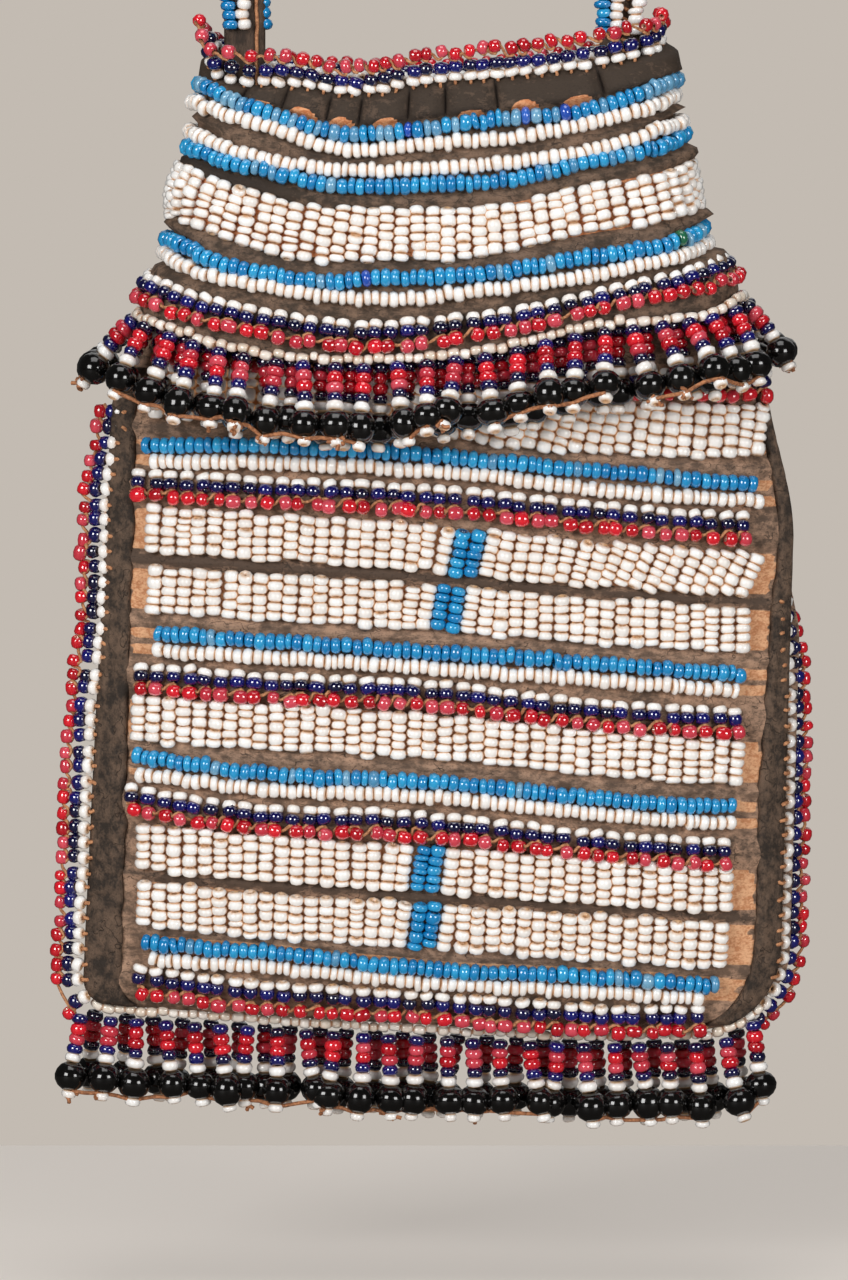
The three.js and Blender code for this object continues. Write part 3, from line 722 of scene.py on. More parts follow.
@dataclass(frozen=True)
class CoverForm:
    """The cover's shape: a flattened cone of hide that slopes a little, with one dent in its front rim."""

    half_angle: float = 15.5
    rim: float = 137.0
    hem: float = 180.1
    rim_depth: float = 9.5
    hem_depth: float = 14.5
    power: float = 3.0
    apex: float = 290.57
    slope: float = 0.035
    hide: float = 1.3
    dent: float = 3.0
    dent_x: float = -15.5
    dent_half: float = 8.5
    dent_low: float = 155.0
    dent_top: float = 131.5
    samples: int = 720

    def section(self, turn: float, slant: float) -> tuple[float, float, float, float]:
        """Point and outward direction of the flattened section, seen from above.

        Args:
            turn: Angle round the cover, 0 on the right and half a turn on the left.
            slant: Distance from the cone's apex.

        Returns:
            x, y and the two parts of the outward direction.
        """
        half = slant * math.sin(math.radians(self.half_angle))
        deep = lerp(self.rim_depth, self.hem_depth, (slant - self.rim) / (self.hem - self.rim))
        c, s = math.cos(turn), math.sin(turn)
        reach = (abs(c / half) ** self.power + abs(s / deep) ** self.power) ** (-1 / self.power)
        x, y = reach * c, reach * s
        nx = math.copysign(abs(x) ** (self.power - 1), x) / half**self.power
        ny = math.copysign(abs(y) ** (self.power - 1), y) / deep**self.power
        size = math.hypot(nx, ny)
        return x, y, nx / size, ny / size

    def point(self, turn: float, slant: float, out: float) -> Vector:
        """A point of the cover at a turn, a slant and a height off its outside."""
        x, y, nx, ny = self.section(turn, slant)
        z = self.apex - math.sqrt(slant**2 - x**2)
        near = math.exp(-(((x - self.dent_x) / self.dent_half) ** 2)) * smooth(1.0, -4.0, y)
        near *= clamp((self.dent_low - slant) / (self.dent_low - self.dent_top), 0.0, 1.0)
        left = smooth(0.8, 1.0, -x / (slant * math.sin(math.radians(self.half_angle))))
        z += self.slope * x + 1.1 * left - self.dent * near - self.sag(x, y, slant)
        return Vector((x + nx * out, y + ny * out + 0.5 * self.dent * near, z))

    def between(self, slant: float) -> tuple[Course, Course, float]:
        """The courses above and below a slant, and the share of the way from one to the other."""
        slants = [course.slant for course in COURSES]
        i = int(clamp(bisect.bisect_right(slants, slant), 1, len(slants) - 1))
        above, below = COURSES[i - 1], COURSES[i]
        return above, below, clamp((slant - above.slant) / (below.slant - above.slant), 0.0, 1.0)

    def sag(self, x: float, y: float, slant: float) -> float:
        """How far the hide hangs below the plain cone, on its front alone."""
        above, below, share = self.between(slant)
        low = smooth(self.rim, COURSES[1].slant, slant)
        front = smooth(lerp(1.0, 8.0, low), lerp(-5.0, 0.0, low), y)
        return front * lerp(above.sag(x), below.sag(x), share) if front else 0.0

    def walk(self) -> list[float]:
        """Distances round the cover's middle section, one for each sample."""
        middle = (self.rim + self.hem) / 2
        lengths = [0.0]
        before = self.section(math.pi / 2, middle)
        for i in range(1, self.samples + 1):
            after = self.section(math.pi / 2 + 2 * math.pi * i / self.samples, middle)
            lengths.append(lengths[-1] + math.hypot(after[0] - before[0], after[1] - before[1]))
            before = after
        return lengths


class CoverSurface:
    """The cover as a surface: across runs round it from the middle of the back, down is the slant."""

    def __init__(self, form: CoverForm) -> None:
        """Measures the way round the form."""
        self.form = form
        self.lengths = form.walk()
        self.around = self.lengths[-1]

    def turn(self, across: float) -> float:
        """The turn at a distance round the cover."""
        wanted = across % self.around
        after = clamp(bisect.bisect_right(self.lengths, wanted), 1, self.form.samples)
        start, end = self.lengths[after - 1], self.lengths[after]
        return math.pi / 2 + 2 * math.pi * (after - 1 + (wanted - start) / (end - start)) / self.form.samples

    def place(self, across: float, down: float, out: float) -> Vector:
        """A point off the cover."""
        return self.form.point(self.turn(across), down, out)


@dataclass(frozen=True)
class StrapForm:
    """The strap's line: two upright runs joined by an arch. Across runs along it, down runs inward."""

    half_spread: float = 29.6
    x: float = STRAP_X
    y: float = 0.0
    left_shift: float = -0.9
    low: float = 112.8
    arch_z: float = 231.8

    @classmethod
    def from_frame(cls) -> "StrapForm":
        """Takes the strap's place from front to back from its solid."""
        low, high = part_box("strap")
        return cls(y=((low[1] + high[1]) / 2 - PLACING.y) / MM)

    @property
    def straight(self) -> float:
        """Length of one upright run."""
        return self.arch_z - self.low

    @property
    def length(self) -> float:
        """Length from one sewn end to the other."""
        return 2 * self.straight + math.pi * self.half_spread

    def place(self, across: float, down: float, out: float) -> Vector:
        """A point off the strap's front."""
        turn = clamp((across - self.straight) / self.half_spread, 0.0, math.pi)
        z = self.low + min(across, self.length - across, self.straight)
        outward = Vector((-math.cos(turn), 0.0, math.sin(turn)))
        shift = self.left_shift * smooth(0.6, 0.4, across / self.length)
        middle = Vector((self.x + shift, self.y - out, z))
        return middle + outward * (self.half_spread - down)


def carry(mesh: Mesh, name: str, kind: str, values: list[float]) -> None:
    """Writes one named value, or vector, on every point of a mesh."""
    layer = mesh.attributes.new(name, kind, "POINT")
    layer.data.foreach_set("vector" if kind == "FLOAT_VECTOR" else "value", values)


class Bead(NamedTuple):
    """One bead on its thread."""

    centre: Vector
    axis: Vector
    width: float
    length: float
    glass: Glass
    tone: float


@dataclass
class Workshop:
    """Makes what the pieces share: materials, bead shapes and the trees that string beads and lay threads."""

    glasses: dict[Glass, Material] = field(default_factory=dict)
    trees: dict[int, NodeTree] = field(default_factory=dict)
    beads: list[Object] = field(default_factory=list)
    lump_size: float = 1.3

    def __post_init__(self) -> None:
        """Makes the finishes, the two bead shapes and the thread tree."""
        group = bead_glass_group()
        self.glasses = {kind: finish.material(group) for kind, finish in GLASS.items()}
        self.hides = hide_group()
        seed_profile = ((0.15, 0.43), (0.29, 0.5), (0.436, 0.34), (0.5, 0.0))
        large_profile = ((0.10, 0.44), (0.2, 0.485), (0.36, 0.36), (0.465, 0.18), (0.5, 0.0))
        self.seed_bead = self.bead_shape("seed_bead", seed_profile, 8)
        self.large_bead = self.bead_shape("large_bead", large_profile, 16)
        self.thread_tree = self.new_thread_tree()

    def bead_shape(self, name: str, half: tuple[tuple[float, float], ...], sides: int) -> Object:
        """A bead of unit width and length with its hole along z.

        Args:
            name: The shape's name.
            half: Radius and height of the profile from the hole's top edge to the waist.
            sides: Sides round the hole.

        Returns:
            The object that the bead tree copies.
        """
        profile = list(half) + [(r, -z) for r, z in reversed(half) if z > 0]
        points = []
        for radius, z in profile:
            for i in range(sides):
                turn = 2 * math.pi * i / sides
                points.append((radius * math.cos(turn), radius * math.sin(turn), z))
        faces = []
        rings = len(profile)
        for ring in range(rings):
            here, below = ring * sides, (ring + 1) % rings * sides
            for i in range(sides):
                after = (i + 1) % sides
                faces.append((here + i, below + i, below + after, here + after))
        mesh = bpy.data.meshes.new(name)
        mesh.from_pydata(points, [], faces)
        mesh.shade_smooth()
        top = max(z for _, z in half)
        ends = (0, rings - 1)
        shares = [1.0 if i // sides in ends else 0.9 * abs(p[2]) / top for i, p in enumerate(points)]
        carry(mesh, "along", "FLOAT", shares)
        shape = bpy.data.objects.new(name, mesh)
        bpy.context.scene.collection.objects.link(shape)
        self.beads.append(shape)
        return shape

    def bead_tree(self, kinds: int) -> NodeTree:
        """The tree that puts a bead on each point and gives each kind its glass.

        Args:
            kinds: How many kinds of glass the piece has.

        Returns:
            The geometry tree.
        """
        if kinds in self.trees:
            return self.trees[kinds]
        desk = NodeDesk(bpy.data.node_groups.new(f"bead_stringing_{kinds}", "GeometryNodeTree"))
        desk.declare("INPUT", {
            "Geometry": ("Geometry",),
            "Float": ("Unevenness",),
            "Int": tuple(f"Kind {i}" for i in range(kinds)),
            "Object": tuple(f"Bead {i}" for i in range(kinds)),
            "Material": tuple(f"Glass {i}" for i in range(kinds)),
        })
        desk.declare("OUTPUT", {"Geometry": ("Geometry",)})
        given = desk.add("NodeGroupInput").outputs
        axis, size = (desk.named(name, "FLOAT_VECTOR") for name in ("axis", "size"))
        number = desk.named("glass", "INT")
        turn = desk.out("FunctionNodeAlignRotationToVector", {"Vector": axis}, axis="Z")
        wave = desk.add("ShaderNodeTexNoise", {"Scale": 1 / (self.lump_size * MM), "Detail": 0.0})
        centred = {0: wave.outputs["Color"], 1: (0.5, 0.5, 0.5)}
        lumps = desk.out("ShaderNodeVectorMath", centred, operation="SUBTRACT")
        lumps = desk.out("ShaderNodeVectorMath", {0: lumps, "Scale": given["Unevenness"]}, operation="SCALE")
        whole = desk.add("GeometryNodeJoinGeometry")
        for i in range(kinds):
            chosen = {"A": number, "B": given[f"Kind {i}"]}
            mine = desk.out("FunctionNodeCompare", chosen, data_type="INT", operation="EQUAL")
            shape = desk.add("GeometryNodeObjectInfo", {"Object": given[f"Bead {i}"]}).outputs["Geometry"]
            strung = desk.out("GeometryNodeInstanceOnPoints", {
                "Points": given["Geometry"],
                "Selection": mine,
                "Instance": shape,
                "Rotation": turn,
                "Scale": size,
            })
            real = desk.out("GeometryNodeRealizeInstances", {"Geometry": strung})
            uneven = desk.out("GeometryNodeSetPosition", {"Geometry": real, "Offset": lumps})
            dress = {"Geometry": uneven, "Material": given[f"Glass {i}"]}
            desk.feed(whole, "Geometry", desk.out("GeometryNodeSetMaterial", dress))
        desk.add("NodeGroupOutput", {"Geometry": whole.outputs["Geometry"]})
        self.trees[kinds] = desk.tree
        return desk.tree

    def new_thread_tree(self) -> NodeTree:
        """The tree that lays a round thread along each chain of edges."""
        desk = NodeDesk(bpy.data.node_groups.new("thread_laying", "GeometryNodeTree"))
        desk.declare("INPUT", {"Geometry": ("Geometry",), "Float": ("Radius",), "Material": ("Thread",)})
        desk.declare("OUTPUT", {"Geometry": ("Geometry",)})
        given = desk.add("NodeGroupInput").outputs
        line = desk.out("GeometryNodeMeshToCurve", {"Mesh": given["Geometry"]})
        line = desk.out("GeometryNodeCurveSplineType", {"Curve": line}, spline_type="CATMULL_ROM")
        line = desk.out("GeometryNodeSetSplineResolution", {"Geometry": line, "Resolution": 2})
        ring = desk.out("GeometryNodeCurvePrimitiveCircle", {"Resolution": 5, "Radius": given["Radius"]})
        tube = desk.out("GeometryNodeCurveToMesh", {"Curve": line, "Profile Curve": ring, "Fill Caps": True})
        tube = desk.out("GeometryNodeSetShadeSmooth", {"Geometry": tube})
        tube = desk.out("GeometryNodeRealizeInstances", {"Geometry": tube})
        tube = desk.out("GeometryNodeSetMaterial", {"Geometry": tube, "Material": given["Thread"]})
        desk.add("NodeGroupOutput", {"Geometry": tube})
        return desk.tree

    def clear(self) -> None:
        """Takes the bead shapes out of the scene once every piece is made."""
        for shape in self.beads:
            bpy.data.objects.remove(shape)


def grow(piece: Object, tree: NodeTree, values: dict[str, object]) -> None:
    """Runs a geometry tree on a piece and keeps the result as its plain mesh.

    Args:
        piece: The piece that holds the points or lines.
        tree: The tree to run.
        values: The tree's inputs by name.
    """
    modifier = piece.modifiers.new("grow", "NODES")
    modifier.node_group = tree
    for item in tree.interface.items_tree:
        if item.in_out == "INPUT" and item.name in values:
            modifier[item.identifier] = values[item.name]
    grown = piece.evaluated_get(bpy.context.evaluated_depsgraph_get())
    mesh = bpy.data.meshes.new_from_object(grown)
    piece.modifiers.clear()
    seed = piece.data
    piece.data = mesh
    bpy.data.meshes.remove(seed)
    mesh.name = piece.name
    for name in ("axis", "size", "glass"):
        if name in mesh.attributes:
            mesh.attributes.remove(mesh.attributes[name])


def link(name: str, mesh: Mesh) -> Object:
    """Puts a mesh into the scene at the origin."""
    piece = bpy.data.objects.new(name, mesh)
    bpy.context.scene.collection.objects.link(piece)
    return piece


def settle(piece: Object, body: Body, slot: Slot | None, nodes: tuple[str, ...]) -> None:
    """Says what a finished piece rides on and which solids it stands for."""
    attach(piece, body.value)
    if nodes:
        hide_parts(*nodes)
    LOG.info("%s rides on %s with %d faces", piece.name, body.value, len(piece.data.polygons))


@dataclass
class BeadWork:
    """Beads that together make one piece."""

    name: str
    body: Body
    slot: Slot
    nodes: tuple[str, ...]
    beads: list[Bead] = field(default_factory=list)
    unevenness: float = 0.16

    @classmethod
    def on(cls, node: str, body: Body, slot: Slot) -> "BeadWork":
        """The bead work that stands for one solid and is named after it."""
        return cls(f"{node}_beads", body, slot, (node,))

    def add(self, centre: Vector, axis: Vector, size: tuple[float, float], glass: Glass, tone: float) -> None:
        """Adds one bead of a width and a length."""
        self.beads.append(Bead(centre, axis.normalized(), size[0], size[1], glass, tone))

    def build(self, shop: Workshop) -> None:
        """Strings the beads into a mesh and settles it."""
        mesh = bpy.data.meshes.new(self.name)
        mesh.from_pydata([PLACING.row(bead.centre) for bead in self.beads], [], [])
        sizes = [(bead.width * MM, bead.width * MM, bead.length * MM) for bead in self.beads]
        carry(mesh, "axis", "FLOAT_VECTOR", [part for bead in self.beads for part in bead.axis])
        carry(mesh, "size", "FLOAT_VECTOR", [part for size in sizes for part in size])
        carry(mesh, "glass", "INT", [bead.glass.value for bead in self.beads])
        carry(mesh, "tone", "FLOAT", [bead.tone for bead in self.beads])
        piece = link(self.name, mesh)
        kinds = sorted({bead.glass for bead in self.beads}, key=lambda kind: kind.value)
        values: dict[str, object] = {"Unevenness": self.unevenness * MM}
        for i, kind in enumerate(kinds):
            values[f"Kind {i}"] = kind.value
            values[f"Bead {i}"] = shop.large_bead if kind is Glass.BLACK else shop.seed_bead
            values[f"Glass {i}"] = shop.glasses[kind]
        grow(piece, shop.bead_tree(len(kinds)), values)
        settle(piece, self.body, self.slot, self.nodes)


@dataclass
class ThreadWork:
    """Threads that together make one piece."""

    name: str
    body: Body
    finish: ThreadFinish
    radius: float
    lines: list[list[Vector]] = field(default_factory=list)

    def add(self, line: list[Vector]) -> None:
        """Adds one thread through its points."""
        self.lines.append(line)

    def build(self, shop: Workshop) -> None:
        """Lays the threads as tubes and settles them."""
        points: list[Vector] = []
        edges: list[tuple[int, int]] = []
        for line in self.lines:
            start = len(points)
            points.extend(PLACING.row(point) for point in line)
            edges.extend((i, i + 1) for i in range(start, len(points) - 1))
        mesh = bpy.data.meshes.new(self.name)
        mesh.from_pydata(points, edges, [])
        piece = link(self.name, mesh)
        grow(piece, shop.thread_tree, {"Radius": self.radius * MM, "Thread": self.finish.material()})
        settle(piece, self.body, None, ())


@dataclass
class Shell:
    """A sheet of hide with a thickness, from a grid of pairs of points on its outer and inner faces."""

    name: str
    grid: Pairs
    wraps: bool = False
    marks: dict[str, list[float]] = field(default_factory=dict)

    def build(self, material: Material) -> Object:
        """Makes the closed mesh, with its marks on the outer face.

        Args:
            material: The hide's material.

        Returns:
            The piece, not yet settled.
        """
        rows, columns = len(self.grid), len(self.grid[0])
        points = [PLACING.row(pair[face]) for face in (0, 1) for row in self.grid for pair in row]
        size = rows * columns
        faces: list[tuple[int, ...]] = []
        last = columns if self.wraps else columns - 1
        for r in range(rows - 1):
            for c in range(last):
                d = (c + 1) % columns
                quad = (r * columns + c, r * columns + d, (r + 1) * columns + d, (r + 1) * columns + c)
                faces.append(quad)
                faces.append(tuple(size + i for i in reversed(quad)))
        top = (rows - 1) * columns
        for c in range(last):
            d = (c + 1) % columns
            faces.append((c, size + c, size + d, d))
            faces.append((top + d, size + top + d, size + top + c, top + c))
        if not self.wraps:
            for r in range(rows - 1):
                here, after = r * columns, (r + 1) * columns
                faces.append((after, size + after, size + here, here))
                here, after = here + columns - 1, after + columns - 1
                faces.append((here, size + here, size + after, after))
        mesh = bpy.data.meshes.new(self.name)
        mesh.from_pydata(points, [], faces)
        mesh.shade_smooth()
        mesh.materials.append(material)
        for name, values in self.marks.items():
            carry(mesh, name, "FLOAT", values + [0.0] * (2 * size - len(values)))
        return link(self.name, mesh)


ROW_PLACES = (-46.4, -28.8, -1.6, 25.6, 46.4)
ROW_HALF = 1.35
PICOT_HALF = 0.6


@dataclass(frozen=True)
class Row:
    """One piece of bead work across the pouch's front, with its heights at five places from left to right."""

    kind: RowKind
    number: int
    left: float
    right: float
    heights: tuple[float, float, float, float, float]
    leans: tuple[float, float, float] = (2.0, 3.0, 4.0)
    inset: float | None = None
    tall: float = 7.55

    def height(self, x: float) -> float:
        """Height of the row's line, a smooth curve through its five heights."""
        return through(ROW_PLACES, self.heights, x)

    @property
    def half(self) -> float:
        """Half the height of hide that the row covers."""
        return {RowKind.LANE: self.tall / 2, RowKind.PICOT: PICOT_HALF}.get(self.kind, ROW_HALF)


POUCH_ROWS = (
    Row(RowKind.PICOT, 1, -49.6, 42.8, (7.2, 5.2, 3.5, 1.4, 0.9)),
    Row(RowKind.WHITE, 1, -46.7, 42.2, (12.7, 11.8, 9.2, 7.7, 5.9)),
    Row(RowKind.BLUE, 1, -47.7, 43.4, (15.3, 14.2, 11.6, 10.2, 8.2)),
    Row(RowKind.LANE, 1, -48.6, 46.1, (21.6, 20.3, 18.2, 16.5, 14.7), (1.0, 2.0, 3.0), -3.0),
    Row(RowKind.LANE, 2, -48.6, 46.9, (30.6, 29.4, 27.7, 25.8, 23.7), (1.0, 1.5, 2.0), -2.2),
    Row(RowKind.PICOT, 2, -50.4, 46.7, (36.3, 34.0, 32.8, 29.8, 28.0)),
    Row(RowKind.WHITE, 2, -48.3, 46.2, (42.4, 40.5, 39.3, 36.5, 34.6)),
    Row(RowKind.BLUE, 2, -48.8, 46.8, (45.2, 43.0, 41.7, 39.0, 37.3)),
    Row(RowKind.LANE, 3, -49.4, 48.5, (51.4, 50.6, 49.0, 46.3, 44.5), (2.0, 2.5, 3.0)),
    Row(RowKind.PICOT, 3, -48.8, 48.3, (56.3, 55.2, 53.9, 50.8, 49.3)),
    Row(RowKind.WHITE, 3, -45.6, 47.2, (62.5, 61.8, 60.0, 58.1, 56.2)),
    Row(RowKind.BLUE, 3, -45.3, 47.0, (65.2, 64.3, 62.6, 60.7, 58.8)),
    Row(RowKind.LANE, 4, -46.7, 49.3, (72.2, 71.4, 69.6, 67.5, 65.8), (4.0, 2.0, 1.0), 1.7),
    Row(RowKind.LANE, 5, -46.9, 50.5, (81.9, 80.9, 79.2, 76.6, 74.9), (3.0, 5.0, 24.0), 4.3),
    Row(RowKind.PICOT, 4, -49.1, 49.2, (87.2, 86.4, 85.1, 82.4, 80.5)),
    Row(RowKind.WHITE, 4, -46.0, 50.3, (92.8, 92.6, 91.4, 88.5, 86.7)),
    Row(RowKind.BLUE, 4, -47.0, 50.2, (95.3, 95.4, 93.9, 91.4, 89.3)),
    Row(RowKind.LANE, 6, -46.0, 52.2, (104.2, 103.0, 100.9, 98.2, 97.6), (5.0, 22.0, 6.0), tall=8.6),
    Row(RowKind.PICOT, 5, -46.0, 52.4, (109.0, 108.0, 106.2, 104.0, 103.2)),
)


@dataclass(frozen=True)
class PicotLook:
    """How a picot edging is worked: a white and a navy bead stand off the hide, and reds link their ends.

    Attributes:
        steps: How far the white and the navy lie back from the red.
        lift: Height of white, navy and red off the surface.
        sense: 1 if the reds hang below the whites, -1 if they stand above.
        stray: How far the reds wander.
        stitch: Length of the stitch that holds each white, or 0.
        red: Usual width and length of a red.
        legs: Usual length of a white and of a navy.
        leg_widths: Usual width of a white and of a navy.
    """

    steps: tuple[float, float] = (3.5, 2.15)
    lift: tuple[float, float, float] = (1.15, 1.5, 1.9)
    sense: int = 1
    stray: float = 0.14
    stitch: float = 0.0
    red: tuple[float, float] = (2.4, 2.1)
    legs: tuple[float, float] = (1.42, 1.9)
    leg_widths: tuple[float, float] = (2.42, 2.6)


@dataclass
class Craft:
    """A bead worker's stitches, on any surface."""

    rng: random.Random
    probe: float = 0.5
    row_spacing: float = 1.01
    width_spread: float = 0.05
    length_spread: float = 0.13
    extra_share: float = 0.08
    tipped_share: float = 0.07
    hazy_share: float = 0.065
    rose_share: float = 0.36
    lane_pitch: float = 2.42
    lane_width: float = 2.62
    lane_bead: float = 1.58
    lane_rise: float = 0.36
    lane_limits: tuple[float, float] = (0.62, 1.45)
    picot_pitch: float = 2.62
    picot_probe: float = 0.4
    blue_size: tuple[float, float] = (2.85, 1.5)
    white_size: tuple[float, float] = (2.6, 1.44)
    hem_size: tuple[float, float] = (1.7, 1.8)
    longest_link: float = 7.5
    tassel_spacing: float = 0.97
    tassel_sizes: tuple[tuple[float, float], ...] = (
        (2.75, 1.62), (2.85, 1.68), (2.85, 1.68), (2.75, 1.62), (3.0, 1.55), (5.35, 4.7), (2.4, 1.3))

    def wander(self, spread: float) -> Vector:
        """A small random move."""
        gauss = self.rng.gauss
        return Vector((gauss(0, spread), gauss(0, spread), gauss(0, spread)))

    def about(self, usual: float, spread: float) -> float:
        """A random size that stays within two and a half spreads of the usual one."""
        return clamp(self.rng.gauss(usual, spread), usual - 2.5 * spread, usual + 2.5 * spread)

    def blue(self, _: float = 0.0) -> Glass:
        """Blue glass, with a few hazy beads among the rest."""
        return Glass.HAZE if self.rng.random() < self.hazy_share else Glass.BLUE

    def red(self) -> Glass:
        """Red glass, deep or faded to rose."""
        return Glass.ROSE if self.rng.random() < self.rose_share else Glass.RED

    def span(self, surface: Surface, ends: tuple[float, float], level: Curve, lift: float) -> float:
        """Length of a line of bead work along a surface."""
        steps = 60
        places = [lerp(ends[0], ends[1], i / steps) for i in range(steps + 1)]
        points = [surface.place(across, level(across), lift) for across in places]
        return sum((after - here).length for here, after in zip(points, points[1:]))

    def row(self, work: BeadWork, surface: Surface, ends: tuple[float, float], level: Curve,
            pick: Callable[[float], Glass], size: tuple[float, float]) -> None:
        """Strings one row of beads, hole to hole, along a surface.

        Args:
            work: Takes the beads.
            surface: What the row is sewn on.
            ends: Where it starts and ends, across the surface.
            level: How far down it lies at a place across.
            pick: Chooses a bead's glass at a place across.
            size: Usual width and length of a bead.
        """
        across = ends[0]
        while across < ends[1]:
            width = self.about(size[0], self.width_spread * size[0])
            length = self.about(size[1], self.length_spread * size[1])
            ahead = across + self.probe
            here = surface.place(across, level(across), width * 0.5)
            there = surface.place(ahead, level(ahead), width * 0.5)
            stretch = (there - here).length / self.probe
            middle = across + length / 2 / stretch
            down = level(middle) + self.rng.gauss(0, 0.14)
            centre = surface.place(middle, down, width * 0.5 + self.rng.gauss(0.02, 0.1))
            axis = (there - here).normalized() + self.wander(0.08)
            work.add(centre, axis, (width, length), pick(across), self.rng.random())
            across += length * self.row_spacing / stretch

    def lane(self, work: BeadWork, surface: Surface, middle: tuple[float, float], lean: float, height: float,
             glass: Glass) -> None:
        """Sews one upright lane of beads.

        Args:
            work: Takes the beads.
            surface: What the lane is sewn on.
            middle: Place of its middle across and down the surface.
            lean: How far its top leans to the right, in degrees.
            height: Its usual height.
            glass: Its glass.
        """
        rng = self.rng
        across, down = middle
        count = round(height / self.lane_bead) + (rng.random() < self.extra_share)
        whole = self.about(height, 0.26)
        lengths = [clamp(rng.gauss(1, 0.17), *self.lane_limits) for _ in range(count)]
        scale = whole / sum(lengths)
        turn = math.radians(lean + rng.gauss(0, 0.9))
        run = -whole / 2
        tipped = rng.random() < self.tipped_share
        for i, share in enumerate(lengths):
            length = share * scale
            reach = run + length / 2
            width = self.about(self.lane_width, 0.1)
            rise = width * self.lane_rise
            at = (across - math.sin(turn) * reach + rng.gauss(0, 0.06), down + math.cos(turn) * reach)
            centre = surface.place(at[0], at[1], rise + rng.gauss(0.0, 0.06))
            lower = (at[0] - math.sin(turn) * self.probe, at[1] + math.cos(turn) * self.probe)
            below = surface.place(*lower, rise)
            off = surface.place(at[0], at[1], rise + 1.0)
            axis = (centre - below).normalized() + self.wander(0.06)
            if i == 0 and tipped:
                axis += (off - centre).normalized() * rng.uniform(0.4, 0.8)
            work.add(centre, axis, (width, length * 0.99), glass, rng.random())
            run += length

    def picot(self, work: BeadWork, threads: ThreadWork, surface: Surface, ends: tuple[float, float],
              level: Curve, look: PicotLook = PicotLook()) -> None:
        """Works a picot edging.

        Args:
            work: Takes the beads.
            threads: Takes the linking thread and the stitches.
            surface: What the picots stand on.
            ends: Where the edging starts and ends, across the surface.
            level: How far down its reds lie at a place across.
            look: How it is worked.
        """
        rng = self.rng
        count = round(self.span(surface, ends, level, look.lift[2]) / self.picot_pitch)
        line: list[Vector] = []
        for i in range(count):
            across = lerp(ends[0], ends[1], (i + 0.5) / count) + rng.gauss(0, 0.13)
            down = level(across)
            foot = down - look.sense * look.steps[0] + rng.gauss(0, 0.12)
            waist = down - look.sense * look.steps[1] + rng.gauss(0, 0.1)
            white = surface.place(across, foot, look.lift[0])
            navy = surface.place(across + rng.gauss(0, 0.15), waist, look.lift[1])
            tip = (across + rng.gauss(0.25, 0.22), down + rng.gauss(0, look.stray))
            red = surface.place(*tip, look.lift[2] + rng.gauss(0, 0.15))
            before = surface.place(across - self.picot_probe, down, look.lift[2])
            along = (surface.place(across + self.picot_probe, down, look.lift[2]) - before).normalized()
            above = surface.place(across, down, look.lift[2] + 1.0)
            outward = above - surface.place(across, down, look.lift[2])
            standing = (white - navy).normalized()
            length = self.about(look.red[1], 0.2)
            axis = (along + self.wander(0.2)).normalized()
            legs = ((white, 0.1, 0.13, Glass.WHITE), (navy, 0.12, 0.16, Glass.NAVY))
            for (centre, tilt, spread, glass), usual, tall in zip(legs, look.leg_widths, look.legs):
                lean = standing + self.wander(tilt)
                work.add(centre, lean, (self.about(usual, spread), tall), glass, rng.random())
            width = self.about(look.red[0], 0.12)
            work.add(red, axis, (width, length), self.red(), rng.random())
            over = standing * (0.5 * width + rng.uniform(0.0, 0.25)) + outward * 0.3
            start = red - axis * length * 0.56 + over * rng.uniform(0.4, 0.7)
            line += [start, red + over, red + axis * length * 0.5]
            if look.stitch:
                near = surface.place(across, foot - look.sense * 0.6, look.lift[0] * 0.5 + 0.2)
                hold = foot - look.sense * (0.6 + look.stitch * rng.uniform(0.7, 1.2))
                far = surface.place(across + rng.gauss(0, 0.12), hold, 0.2)
                threads.add([near, (near + far) / 2 + outward * 0.3, far])
        threads.add(line)

    def tassel(self, work: BeadWork, top: Vector, lean: Vector, depth: float = 0.0) -> Vector:
        """Hangs one string of beads: navy, two reds, navy, a white, the large black bead and a small tip.

        Args:
            work: Takes the beads.
            top: Where the string starts.
            lean: The direction in which it sets out.
            depth: How much deeper its glass is than usual, from 0 to 1, as painted shade on a layer that
                hangs behind.

        Returns:
            The string's lower end.
        """
        rng = self.rng
        reds = (self.red(), self.red())
        glasses = (Glass.NAVY, *reds, Glass.NAVY, Glass.WHITE, Glass.BLACK, Glass.WHITE)
        end = top.copy()
        heading = lean.normalized()
        for glass, (width, length) in zip(glasses, self.tassel_sizes):
            grown = clamp(rng.gauss(1, 0.05), 0.88, 1.12)
            width, length = width * grown, length * clamp(rng.gauss(1, 0.07), 0.82, 1.2)
            heading = (heading + DOWN * 0.05 + self.wander(0.045)).normalized()
            axis = heading + self.wander(0.08)
            # The tone leans to the deep colour by depth: painted shade on the back layer.
            work.add(end + heading * length / 2, axis, (width, length), glass, lerp(rng.random(), 1.2, depth))
            end += heading * length * self.tassel_spacing
        return end

    def garland(self, threads: ThreadWork, tips: list[Vector]) -> None:
        """Links neighbouring tassels with a slack thread, between each black bead and its tip."""
        knots = [tip + UP * self.rng.uniform(0.9, 1.5) - BACK * 0.5 for tip in tips]
        for here, after in zip(knots, knots[1:]):
            sag = DOWN * self.rng.uniform(-0.7, 0.3) + BACK * self.rng.uniform(0.2, 1.0)
            if (after - here).length < self.longest_link:
                threads.add([here, (here + after) / 2 + sag, after])

    def fray(self, threads: ThreadWork, start: Vector, ends: int) -> None:
        """Leaves a knot with loose ends."""
        for _ in range(ends):
            line = [start + UP * 1.1 + self.wander(0.3)]
            heading = (DOWN + self.wander(0.5)).normalized()
            for _ in range(3):
                heading = (heading + self.wander(0.5)).normalized()
                line.append(line[-1] + heading * self.rng.uniform(0.35, 0.75))
            threads.add(line)


